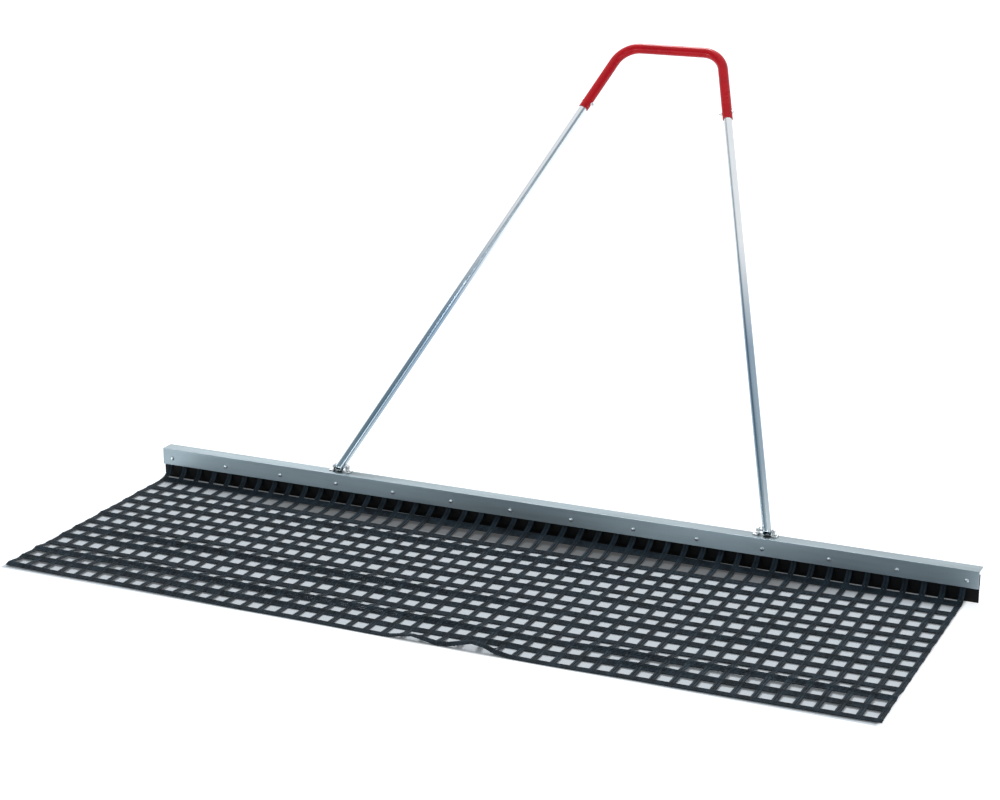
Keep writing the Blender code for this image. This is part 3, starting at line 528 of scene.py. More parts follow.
def pin_mesh(name, radius, length, matrix):
    """A round pin centred on a matrix, along its Z."""
    shape = bmesh.new()
    bmesh.ops.create_cone(
        shape, cap_ends=True, segments=32, radius1=radius, radius2=radius, depth=length, matrix=matrix)
    return mesh_from(name, shape)


def facing(centre, direction):
    """Matrix at a point whose Z looks in a direction."""
    return Matrix.Translation(centre) @ Vector(direction).to_track_quat("Z", "Y").to_matrix().to_4x4()


def spun_shape(profile, segments, matrix, closed=False):
    """A profile of (radius, height) points, spun into a closed body and set by a matrix."""
    shape = bmesh.new()
    verts = [shape.verts.new((radius, 0, height)) for radius, height in profile]
    pairs = list(zip(verts[:-1], verts[1:]))
    if closed:
        pairs.append((verts[-1], verts[0]))
    edges = [shape.edges.new(pair) for pair in pairs]
    bmesh.ops.spin(
        shape, geom=verts + edges, cent=(0, 0, 0), axis=(0, 0, 1), angle=math.tau,
        steps=segments, use_merge=True, use_duplicate=False)
    bmesh.ops.remove_doubles(shape, verts=shape.verts, dist=MERGE_DISTANCE)
    bmesh.ops.recalc_face_normals(shape, faces=shape.faces)
    bmesh.ops.transform(shape, matrix=matrix, verts=shape.verts)
    return shape


def rivet_centres():
    reach = BAR_HIGH.x - BAR_LOW.x - 2 * RIVET_INSET
    height = FACE_BOTTOM + RIVET_RISE
    return [Vector((-reach / 2 + reach * i / (RIVET_COUNT - 1), 0, height)) for i in range(RIVET_COUNT)]


def handle_matrix():
    """Frame of the handle's plane: X along the bar, Y up the handle, origin between the pivots."""
    return Matrix.Translation(PIVOT) @ Matrix.Rotation(LEAN, 4, "X")


def leg_matrix(sign):
    """Frame at a pivot whose Z runs up the leg and whose X lies across it, outwards."""
    up = Vector((-sign * math.sin(SPLAY), math.cos(SPLAY), 0))
    out = Vector((sign * math.cos(SPLAY), math.sin(SPLAY), 0))
    turn = Matrix((out, up.cross(out), up)).transposed().to_4x4()
    return handle_matrix() @ Matrix.Translation((sign * SPREAD / 2, 0, 0)) @ turn


class DRAGNET_OT_bar(bpy.types.Operator):
    """Give the bar and the strip behind it their mill finish"""

    bl_idname = "dragnet.bar"
    bl_label = "Bar"

    def execute(self, context):
        finishes = context.scene.drag_net_finishes
        finish_nodes(("bar_angle", "clamp_strip"), aluminium_extrusion(finishes.aluminium))
        return {"FINISHED"}


class DRAGNET_OT_rubber_strip(bpy.types.Operator):
    """Make the rubber strip that the bar stands on, slightly wavy along its edge"""

    bl_idname = "dragnet.rubber_strip"
    bl_label = "Rubber strip"

    CUTS_ALONG = 119
    CUTS_UP = 5
    WAVE = 0.9 * MM
    EDGE = 0.5 * MM

    def execute(self, context):
        finishes = context.scene.drag_net_finishes
        size = STRIP_HIGH - STRIP_LOW
        middle = (STRIP_HIGH + STRIP_LOW) / 2
        shape = bmesh.new()
        bmesh.ops.create_cube(shape, size=1, matrix=Matrix.Translation(middle) @ Matrix.Diagonal((*size, 1)))
        long_edges = [e for e in shape.edges if abs(e.verts[0].co.x - e.verts[1].co.x) > size.x / 2]
        bmesh.ops.subdivide_edges(shape, edges=long_edges, cuts=self.CUTS_ALONG, use_grid_fill=True)
        upright = [e for e in shape.edges if abs(e.verts[0].co.z - e.verts[1].co.z) > size.z / 2]
        bmesh.ops.subdivide_edges(shape, edges=upright, cuts=self.CUTS_UP, use_grid_fill=True)
        # Two slow waves, 0.7 and 2 m long, grow from the face's edge down to the strip's free edge
        for vert in shape.verts:
            free = max(0, FACE_BOTTOM - vert.co.z) / FACE_BOTTOM
            vert.co.y += free ** 2 * self.WAVE * math.sin(vert.co.x * 9.3 + 1) * math.cos(vert.co.x * 3.1)
        corners = [e for e in shape.edges if e.calc_face_angle(0) > 1]
        bmesh.ops.bevel(
            shape, geom=corners, offset=self.EDGE, segments=2, profile=0.5, affect="EDGES", material=-1)
        mesh = mesh_from("rubber_blade", shape)
        holes = [
            pin_mesh("hole", RIVET_HOLE_RADIUS, 30 * MM, facing(centre, (0, 1, 0)))
            for centre in rivet_centres()]
        mesh = cut_mesh("rubber_blade", mesh, holes)
        new_piece("rubber_blade", mesh, black_rubber(finishes.rubber), "bar", ["rubber_strip"])
        return {"FINISHED"}


def mound(distance, half_width):
    """A smooth hill, 1 in its middle and 0 from its half width on."""
    share = np.clip(np.abs(distance) / half_width, 0, 1)
    return np.cos(share * math.pi / 2) ** 2


def ease(share):
    """A smooth climb from 0 to 1 as share goes from 0 to 1."""
    return 0.5 - 0.5 * np.cos(np.clip(share, 0, 1) * math.pi)


def middle_share(x):
    """1 in the middle of the bar, falling to 0 at its ends."""
    return 1 - (x / HALF_BAR) ** 2


class NetSurface:
    """Where the net's middle surface lies at x, at each length along it from the face's lower edge."""

    STEP = 1 * MM
    SPARE = 20 * MM
    BEND_DROP = 2.5 * MM
    HALF_HEM = 1.5 * MM
    # A low slope in the middle of the bar, and almost straight down at both ends
    LEAVE_ANGLE_MIDDLE = math.radians(35)
    LEAVE_ANGLE_END = math.radians(85)
    END_GROWTH = 1.5
    FRONT_LIFT_REACH = 42 * MM
    # How far the net is pulled out from the hem: everywhere, more in the middle, most a little left of
    # it, and less for each metre to the right. The pull grows over the net's first stretch
    PULL = 10.5 * MM
    PULL_MIDDLE = 7 * MM
    PULL_LEFT = 6 * MM
    PULL_LEFT_PLACE = -0.2
    PULL_LEFT_REACH = 0.45
    PULL_LOSS = 1.5 * MM
    PULL_STRETCH = 110 * MM

    def __init__(self, length, floor_height, pitch, gap):
        self.fine = np.arange(0, length + self.SPARE, self.STEP)
        self.floor_height = floor_height
        self.bend = FACE_BOTTOM - self.BEND_DROP
        self.hem_y = NET_HIGH.y - self.HALF_HEM
        along = self.fine + self.BEND_DROP
        self.hills = []
        for row, rise, middle, half_length in NET_RIPPLES:
            start = row * pitch
            crest = start + gap
            hill = ease((along - start) / gap) * (1 - ease((along - crest) / (pitch - gap)))
            self.hills.append((rise * hill, middle, half_length))
        for distance, rise, half_width, middle, half_length in NET_SWELLS:
            self.hills.append((rise * mound(along - distance, half_width), middle, half_length))
        edge = ease((along - length + self.FRONT_LIFT_REACH) / self.FRONT_LIFT_REACH)
        for rise, middle, half_length in NET_FRONT_LIFTS:
            self.hills.append((rise * edge, middle, half_length))

    def section(self, x, along):
        """The net's Y, its height and its tilt at x, at each length along it."""
        end_share = abs(x / HALF_BAR) ** self.END_GROWTH
        steeper = self.LEAVE_ANGLE_END - self.LEAVE_ANGLE_MIDDLE
        leave = self.LEAVE_ANGLE_MIDDLE + steeper * end_share
        radius = (self.bend - self.floor_height) / (1 - math.cos(leave))
        angle = np.clip(leave - self.fine / radius, 0, None)
        height = self.floor_height + radius * (1 - np.cos(angle))
        height += NET_END_RISE * end_share * ease(self.fine / (radius * leave))
        for hill, middle, half_length in self.hills:
            height += hill * mound(x - middle, half_length)
        slope = np.gradient(height, self.fine)
        forward = np.sqrt(np.clip(self.STEP ** 2 - np.diff(height) ** 2, 0, None))
        run = np.concatenate(((0,), np.cumsum(forward)))
        along = np.asarray(along, dtype=float) - self.BEND_DROP
        pull = self.PULL + self.PULL_MIDDLE * middle_share(x)
        pull += self.PULL_LEFT * mound(x - self.PULL_LEFT_PLACE, self.PULL_LEFT_REACH)
        pull -= self.PULL_LOSS * x
        pull = pull * ease(along / self.PULL_STRETCH)
        y = self.hem_y - np.interp(along, self.fine, run, left=0) - pull
        z = np.where(along < 0, self.bend - along, np.interp(along, self.fine, height))
        lean = np.arcsin(np.clip(np.interp(along, self.fine, slope), -1, 1))
        tilt = np.where(along < 0, math.pi / 2, -lean)
        return y, z, tilt


def cord_spline(curve, points):
    spline = curve.splines.new("POLY")
    spline.points.add(len(points) - 1)
    spline.points.foreach_set("co", np.c_[points, np.ones(len(points))].astype(np.float32).ravel())
    spline.use_smooth = True


def flat_section(width, thickness):
    """The cross-section of a flattened cord, as a closed curve of a few points."""
    corners = 8
    curve = bpy.data.curves.new("section", "CURVE")
    curve.dimensions = "2D"
    spline = curve.splines.new("POLY")
    spline.points.add(corners - 1)
    for number, point in enumerate(spline.points):
        angle = math.tau * (number + 0.5) / corners
        point.co = (width / 2 * math.cos(angle), thickness / 2 * math.sin(angle), 0, 1)
    spline.use_cyclic_u = True
    return bpy.data.objects.new("section", curve)


def cords_mesh(name, paths, width, thickness):
    """Flattened cords along many point paths, as one mesh with closed ends."""
    curve = bpy.data.curves.new(name, "CURVE")
    curve.dimensions = "3D"
    curve.bevel_mode = "OBJECT"
    curve.bevel_object = flat_section(width, thickness)
    curve.use_fill_caps = True
    curve.twist_mode = "MINIMUM"
    for path in paths:
        cord_spline(curve, path)
    guide = bpy.data.objects.new(name, curve)
    for obj in (guide, curve.bevel_object):
        bpy.context.scene.collection.objects.link(obj)
    bpy.context.view_layer.update()
    mesh = bpy.data.meshes.new_from_object(guide.evaluated_get(bpy.context.evaluated_depsgraph_get()))
    bpy.data.objects.remove(curve.bevel_object)
    bpy.data.objects.remove(guide)
    shape = bmesh.new()
    shape.from_mesh(mesh)
    bmesh.ops.remove_doubles(shape, verts=shape.verts, dist=MERGE_DISTANCE)
    bmesh.ops.recalc_face_normals(shape, faces=shape.faces)
    shape.to_mesh(mesh)
    shape.free()
    return mesh


class DRAGNET_OT_net(bpy.types.Operator):
    """Make the net from its cords: bands along the bar, and pairs of strands that weave through them"""

    bl_idname = "dragnet.net"
    bl_label = "Net"

    # Where a strand has points: in the hem, in each row as shares of its pitch, and before the front edge
    HEM_POINTS = (-24 * MM, -12 * MM)
    ROW_POINTS = (0, 0.22, 0.44, 0.66, 0.83)
    FRONT_POINT = 8 * MM
    # How many points a band's cord has along the bar
    STATIONS = 76
    # A strand's thickness as a share of a band's, and a band's cords so wide that no light comes between
    STRAND_FLATNESS = 0.6
    BAND_OVERLAP = 1.04
    # The hem's cords: how high above the face's lower edge, and their width and thickness
    HEM_HEIGHTS = (6 * MM, 12 * MM, 18 * MM, 24 * MM)
    HEM_CORD = (2.4 * MM, 4 * MM)

    def strand_places(self, sizes):
        """Middle of each strand along the bar: a pair at each side of each gap."""
        first = -sizes.gaps_across * sizes.pitch_across / 2 + sizes.side_shift
        places = []
        for column in range(sizes.gaps_across + 1):
            x = first + column * sizes.pitch_across
            x += sizes.side_bow * middle_share(x)
            places += [x - sizes.strand_spread / 2, x + sizes.strand_spread / 2]
        return places

    def band_places(self, sizes, spacing):
        """Middle of each cord that runs along the bar; the front band has fewer of them."""
        places = []
        for row in range(sizes.gaps_out):
            start = row * sizes.pitch_out + sizes.gap_length
            count = sizes.band_cords if row < sizes.gaps_out - 1 else sizes.front_cords
            places += [start + spacing * (number + 0.5) for number in range(count)]
        return places

    def strand_paths(self, sizes, surface, strands, length):
        """Points of each strand, which goes over and under the bands."""
        along = list(self.HEM_POINTS)
        for row in range(sizes.gaps_out):
            along += [(row + share) * sizes.pitch_out for share in self.ROW_POINTS]
        along = np.array(along + [length - self.FRONT_POINT, length])
        band_middle = sizes.gap_length + (sizes.pitch_out - sizes.gap_length) / 2
        paths = []
        for number, x in enumerate(strands):
            y, z, tilt = surface.section(x, along)
            phase = math.pi * ((along - band_middle) / sizes.pitch_out + number)
            side = sizes.weave * np.cos(phase) * (along > 0)
            leaning = x + sizes.lean * np.clip(along, 0, None)
            paths.append(np.c_[leaning, y - side * np.sin(tilt), z + side * np.cos(tilt)])
        return paths

    def band_paths(self, sizes, surface, rows, left, right):
        """Points of each cord that runs along the bar."""
        stations = np.linspace(left, right, self.STATIONS)
        sections = [surface.section(x, rows) for x in stations]
        paths = []
        for number, row in enumerate(rows):
            shift = sizes.lean * row
            points = [(x + shift, y[number], z[number]) for x, (y, z, _tilt) in zip(stations, sections)]
            paths.append(np.array(points))
        return paths

    def hem_paths(self, surface, left, right):
        """Both ends of each cord in the hem, which is clamped between face and backing strip."""
        paths = []
        for height in self.HEM_HEIGHTS:
            y, z, _tilt = surface.section(0, -height)
            paths.append(np.array([(x, float(y), float(z)) for x in (left, right)]))
        return paths

    def execute(self, context):
        finishes = context.scene.drag_net_finishes
        sizes = context.scene.drag_net_mesh
        band_cord = (sizes.pitch_out - sizes.gap_length) / sizes.band_cords
        rows = self.band_places(sizes, band_cord)
        length = rows[-1] + band_cord / 2
        surface = NetSurface(length, sizes.thickness / 2, sizes.pitch_out, sizes.gap_length)
        strands = self.strand_places(sizes)
        left = strands[0] - sizes.strand / 2
        right = strands[-1] + sizes.strand / 2
        parts = (
            cords_mesh(
                "strands", self.strand_paths(sizes, surface, strands, length),
                sizes.strand, sizes.thickness * self.STRAND_FLATNESS),
            cords_mesh(
                "bands", self.band_paths(sizes, surface, rows, left, right),
                band_cord * self.BAND_OVERLAP, sizes.thickness),
            cords_mesh("hem", self.hem_paths(surface, left, right), *self.HEM_CORD),
        )
        material = coated_cord(finishes.net, length)
        piece = new_piece(
            "drag_net", joined_mesh("drag_net", parts), material, "bar", ["net"], angle=80)
        return {"FINISHED"}


class DRAGNET_OT_rivets(bpy.types.Operator):
    """Set the domed rivets along the face and the low ones through the lugs"""

    bl_idname = "dragnet.rivets"
    bl_label = "Rivets"

    RIM = 0.4 * MM
    DOME_STEPS = 8

    def rivet(self, matrix, head_radius, head_height, shank_radius, stack, tail_radius, tail_height):
        """A set rivet with its seat at a matrix: dome, shank through the stack, pressed tail."""
        profile = []
        for step in range(self.DOME_STEPS + 1):
            angle = math.pi / 2 * step / self.DOME_STEPS
            height = SEAT_GAP + self.RIM + head_height * math.cos(angle)
            profile.append((head_radius * math.sin(angle), height))
        back = -stack - SEAT_GAP
        profile += [
            (head_radius, SEAT_GAP), (shank_radius, SEAT_GAP), (shank_radius, back), (tail_radius, back),
            (tail_radius, back - tail_height), (0, back - tail_height * 1.2)]
        return mesh_from("rivet", spun_shape(profile, 32, matrix))

    def execute(self, context):
        finishes = context.scene.drag_net_finishes
        material = rivet_aluminium(finishes.rivet)
        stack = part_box("clamp_strip")[1].y - FACE_FRONT
        rivets = []
        for centre in rivet_centres():
            rivets.append(self.rivet(
                facing((centre.x, FACE_FRONT, centre.z), (0, -1, 0)), head_radius=4.75 * MM,
                head_height=2.3 * MM, shank_radius=2.4 * MM, stack=stack, tail_radius=3.8 * MM,
                tail_height=1.6 * MM))
        nodes = [f"rivet_{i + 1:02d}" for i in range(RIVET_COUNT)]
        new_piece("face_rivets", joined_mesh("face_rivets", rivets), material, "bar", nodes)
        rivets = []
        nodes = []
        for side, _sign in SIDES:
            for place in ("outer", "inner"):
                node = f"lug_rivet_{side}_{place}"
                low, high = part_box(node)
                middle = (low + high) / 2
                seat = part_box(f"lug_{side}_{place}")[0].z + LUG_WALL
                rivets.append(self.rivet(
                    facing((middle.x, middle.y, seat), (0, 0, 1)), head_radius=3.75 * MM,
                    head_height=1.6 * MM, shank_radius=2 * MM, stack=seat - FLANGE_TOP + BAR_WALL,
                    tail_radius=3.6 * MM, tail_height=1.2 * MM))
                nodes.append(node)
        new_piece("lug_rivets", joined_mesh("lug_rivets", rivets), material, "bar", nodes)
        return {"FINISHED"}


def softened_copy(node, offset):
    """A frame node's shape with its doubles merged and its sharp edges lightly rounded."""
    flat_angle = math.radians(1)
    sharp_angle = math.radians(50)
    shape = bmesh.new()
    shape.from_mesh(FRAME["nodes"][node].data)
    bmesh.ops.remove_doubles(shape, verts=shape.verts, dist=MERGE_DISTANCE)
    bmesh.ops.dissolve_limit(
        shape, angle_limit=flat_angle, verts=shape.verts, edges=shape.edges, use_dissolve_boundaries=False)
    sharp = [e for e in shape.edges if e.is_manifold and e.calc_face_angle(0) > sharp_angle]
    bmesh.ops.bevel(
        shape, geom=sharp, offset=offset, segments=2, profile=0.5, affect="EDGES", clamp_overlap=True,
        material=-1)
    return mesh_from(node + "_softened", shape)


def hexagon_mesh(name, flats, height, matrix, chamfer_both):
    """A hexagon head or nut with its corners chamfered round."""
    shape = bmesh.new()
    radius = flats / 2 / math.cos(math.pi / 6)
    bmesh.ops.create_cone(
        shape, cap_ends=True, segments=6, radius1=radius, radius2=radius, depth=height,
        matrix=Matrix.Translation((0, 0, height / 2)))
    body = mesh_from(name, shape)
    # The chamfer leaves a round top a little smaller than the flats, and falls 30 degrees from there
    top = flats / 2 * 0.94
    drop = (radius - top) * math.tan(math.radians(30))
    wide = radius + 0.1 * MM
    low = [(0, 0), (top, 0), (wide, drop)] if chamfer_both else [(0, 0), (wide, 0)]
    profile = [(0, height), (top, height), (wide, height - drop)] + low[::-1]
    turned = mesh_from(name + "_chamfer", spun_shape(profile, 48, Matrix.Identity(4)))
    result = cut_mesh(name, body, [turned], "INTERSECT")
    result.transform(matrix)
    return result


def add_fastener(pieces, seat, axis, flats, head, stack, nut, diameter, end):
    """Hexagon bolt from its head's seat down through a stack, and the nut on the far side."""
    radius = diameter / 2
    tip = 0.6 * MM
    bore_room = 0.25 * MM
    frame = facing(seat, axis)
    head_mesh = hexagon_mesh("head", flats, head, frame @ Matrix.Translation((0, 0, SEAT_GAP)), False)
    reach = stack + SEAT_GAP + nut + end
    profile = [
        (0, SEAT_GAP + head / 2), (radius, SEAT_GAP + head / 2), (radius, -reach + tip),
        (radius - tip, -reach), (0, -reach)]
    shank = mesh_from("shank", spun_shape(profile, 32, frame))
    pieces["bolt"].append(cut_mesh("bolt", head_mesh, [shank], "UNION"))
    nut_frame = frame @ Matrix.Translation((0, 0, -stack - SEAT_GAP - nut))
    nut_mesh = hexagon_mesh("nut", flats, nut, nut_frame, True)
    bore = pin_mesh("bore", radius + bore_room, 4 * nut, nut_frame)
    pieces["nut"].append(cut_mesh("nut", nut_mesh, [bore]))


def place_fasteners(pieces, place, material, body):
    """The bolts of a place as one piece, and its nuts as another."""
    for kind, meshes in pieces.items():
        name = f"{place}_{kind}s"
        nodes = [f"{place}_{kind}_{side}" for side, _sign in SIDES]
        new_piece(name, joined_mesh(name, meshes), material, body, nodes)


class DRAGNET_OT_pivots(bpy.types.Operator):
    """Make the lugs, bolts and nuts that carry the legs"""

    bl_idname = "dragnet.pivots"
    bl_label = "Pivots"

    def execute(self, context):
        finishes = context.scene.drag_net_finishes
        material = zinc_plate(finishes.zinc)
        pieces = {"bolt": [], "nut": []}
        for side, sign in SIDES:
            for place in ("outer", "inner"):
                node = f"lug_{side}_{place}"
                mesh = softened_copy(node, 0.25 * MM)
                new_piece(node + "_bent", mesh, material, "bar", [node], angle=40)
            # Each lug's upright wall stands at its edge nearer to the leg
            near, far = (0, 1) if sign > 0 else (1, 0)
            seat_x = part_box(f"lug_{side}_outer")[near].x + sign * LUG_WALL
            far_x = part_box(f"lug_{side}_inner")[far].x - sign * LUG_WALL
            add_fastener(
                pieces, Vector((seat_x, PIVOT.y, PIVOT.z)), (sign, 0, 0), flats=10 * MM, head=4 * MM,
                stack=abs(seat_x - far_x), nut=5 * MM, diameter=6 * MM, end=1.2 * MM)
        place_fasteners(pieces, "pivot", material, "bar")
        return {"FINISHED"}


def grip_bolt_hole(frame):
    """A pin across a leg's line, where the grip's bolt passes through sleeve and tube."""
    return pin_mesh("hole", GRIP_HOLE_RADIUS, 60 * MM, frame @ facing((0, 0, GRIP_BOLT_PLACE), (1, 0, 0)))


def lay_out_tube(mesh, frame, radius):
    """UV map in metres: round the tube and up it, in the tube's own frame."""
    back = frame.inverted()
    layer = mesh.uv_layers.new(name="tube")
    for polygon in mesh.polygons:
        local = [back @ mesh.vertices[mesh.loops[i].vertex_index].co for i in polygon.loop_indices]
        angles = [math.atan2(p.y, p.x) for p in local]
        if max(angles) - min(angles) > math.pi:
            angles = [a + math.tau if a < 0 else a for a in angles]
        for index, point, angle in zip(polygon.loop_indices, local, angles):
            layer.data[index].uv = (angle * radius, point.z)


class DRAGNET_OT_legs(bpy.types.Operator):
    """Make the two straight tubes of the handle"""

    bl_idname = "dragnet.legs"
    bl_label = "Legs"

    # How far a leg reaches into the grip's sleeve, and the chamfer at both of its ends
    IN_SLEEVE = 55 * MM
    EDGE = 0.3 * MM

    def side_outline(self):
        """A pin on the pivot line, drawn out up the handle: it rounds the feet of both legs."""
        shape = bmesh.new()
        bmesh.ops.create_cone(
            shape, cap_ends=True, segments=64, radius1=LEG_END_RADIUS, radius2=LEG_END_RADIUS,
            depth=2 * SPREAD, matrix=facing((0, 0, 0), (1, 0, 0)))
        upper = [vert for vert in shape.verts if vert.co.y > -0.01 * MM]
        bmesh.ops.translate(shape, vec=(0, REACH, 0), verts=upper)
        bmesh.ops.transform(shape, matrix=handle_matrix(), verts=shape.verts)
        return mesh_from("side_outline", shape)

    def execute(self, context):
        finishes = context.scene.drag_net_finishes
        material = drawn_tube(finishes.tube)
        outer, inner = LEG_RADIUS, LEG_RADIUS - LEG_WALL
        bottom, top = -LEG_OVERHANG, SLEEVE_END + self.IN_SLEEVE
        profile = [
            (outer - self.EDGE, top), (outer, top - self.EDGE), (outer, bottom + self.EDGE),
            (outer - self.EDGE, bottom), (inner, bottom), (inner, top)]
        for side, sign in SIDES:
            frame = leg_matrix(sign)
            mesh = mesh_from("tube", spun_shape(profile, 64, frame, closed=True))
            mesh = cut_mesh("tube", mesh, [self.side_outline()], "INTERSECT")
            foot = Vector((sign * SPREAD / 2, PIVOT.y, PIVOT.z))
            pivot_hole = pin_mesh("hole", PIVOT_HOLE_RADIUS, 40 * MM, facing(foot, (1, 0, 0)))
            mesh = cut_mesh(f"leg_tube_{side}", mesh, [pivot_hole, grip_bolt_hole(frame)])
            lay_out_tube(mesh, frame, LEG_RADIUS)
            new_piece(f"leg_tube_{side}", mesh, material, "handle", [f"leg_{side}"])
        return {"FINISHED"}


class DRAGNET_OT_grip(bpy.types.Operator):
    """Bend the red grip tube and bolt it over the legs"""

    bl_idname = "dragnet.grip"
    bl_label = "Grip"

    BEND_RADIUS = 63.5 * MM
    OUTER = 12.3 * MM
    BORE = 10.3 * MM
    # How far the bore's cutter sticks out at the sleeves' ends
    BORE_END = 5 * MM

    def bent_tube(self, radius, extra):
        """A solid round bar along the grip's line: a ring drawn out and turned round the bends."""
        turn = math.pi / 2 - SPLAY
        shape = bmesh.new()
        start = Matrix.Translation((0, 0, SLEEVE_END - extra))
        bmesh.ops.create_circle(shape, cap_ends=False, segments=48, radius=radius, matrix=start)
        arm = LEG_LINE - SLEEVE_END - self.BEND_RADIUS * math.tan(turn / 2) + extra
        ring = self.draw_out(shape, shape.edges[:], Vector((0, 0, arm)))
        centre = Vector((-self.BEND_RADIUS, 0, SLEEVE_END - extra + arm))
        ring = self.turn_round(shape, ring, centre, -turn)
        direction = Vector((-math.sin(turn), 0, math.cos(turn)))
        flat = CORNER_SPREAD - 2 * self.BEND_RADIUS * math.tan(turn / 2)
        ring = self.draw_out(shape, ring, direction * flat)
        ring = self.turn_round(shape, ring, centre + direction * flat, -turn)
        direction = Vector((-math.sin(2 * turn), 0, math.cos(2 * turn)))
        self.draw_out(shape, ring, direction * arm)
        open_edges = [edge for edge in shape.edges if edge.is_boundary]
        bmesh.ops.holes_fill(shape, edges=open_edges, sides=0)
        bmesh.ops.recalc_face_normals(shape, faces=shape.faces)
        bmesh.ops.transform(shape, matrix=leg_matrix(1), verts=shape.verts)
        return mesh_from("grip", shape)

    def draw_out(self, shape, ring, move):
        made = bmesh.ops.extrude_edge_only(shape, edges=ring)["geom"]
        bmesh.ops.translate(shape, vec=move, verts=[g for g in made if isinstance(g, bmesh.types.BMVert)])
        return [g for g in made if isinstance(g, bmesh.types.BMEdge)]

    def turn_round(self, shape, ring, centre, angle):
        verts = list({vert for edge in ring for vert in edge.verts})
        made = bmesh.ops.spin(
            shape, geom=verts + ring, cent=centre, axis=(0, 1, 0), angle=angle, steps=24, use_duplicate=False)
        return [g for g in made["geom_last"] if isinstance(g, bmesh.types.BMEdge)]

    def execute(self, context):
        finishes = context.scene.drag_net_finishes
        outer = self.bent_tube(self.OUTER, 0)
        bore = self.bent_tube(self.BORE, self.BORE_END)
        frames = [leg_matrix(sign) for _side, sign in SIDES]
        mesh = cut_mesh("grip_tube", outer, [bore] + [grip_bolt_hole(frame) for frame in frames])
        new_piece("grip_tube", mesh, red_gloss(finishes.grip), "handle", ["grip"])
        pieces = {"bolt": [], "nut": []}
        for frame in frames:
            axis = frame.to_3x3() @ Vector((1, 0, 0))
            seat = frame @ Vector((self.OUTER, 0, GRIP_BOLT_PLACE))
            add_fastener(
                pieces, seat, axis, flats=8 * MM, head=3.5 * MM, stack=2 * self.OUTER, nut=4 * MM,
                diameter=5 * MM, end=3.5 * MM)
        place_fasteners(pieces, "grip", zinc_plate(finishes.zinc), "handle")
        return {"FINISHED"}


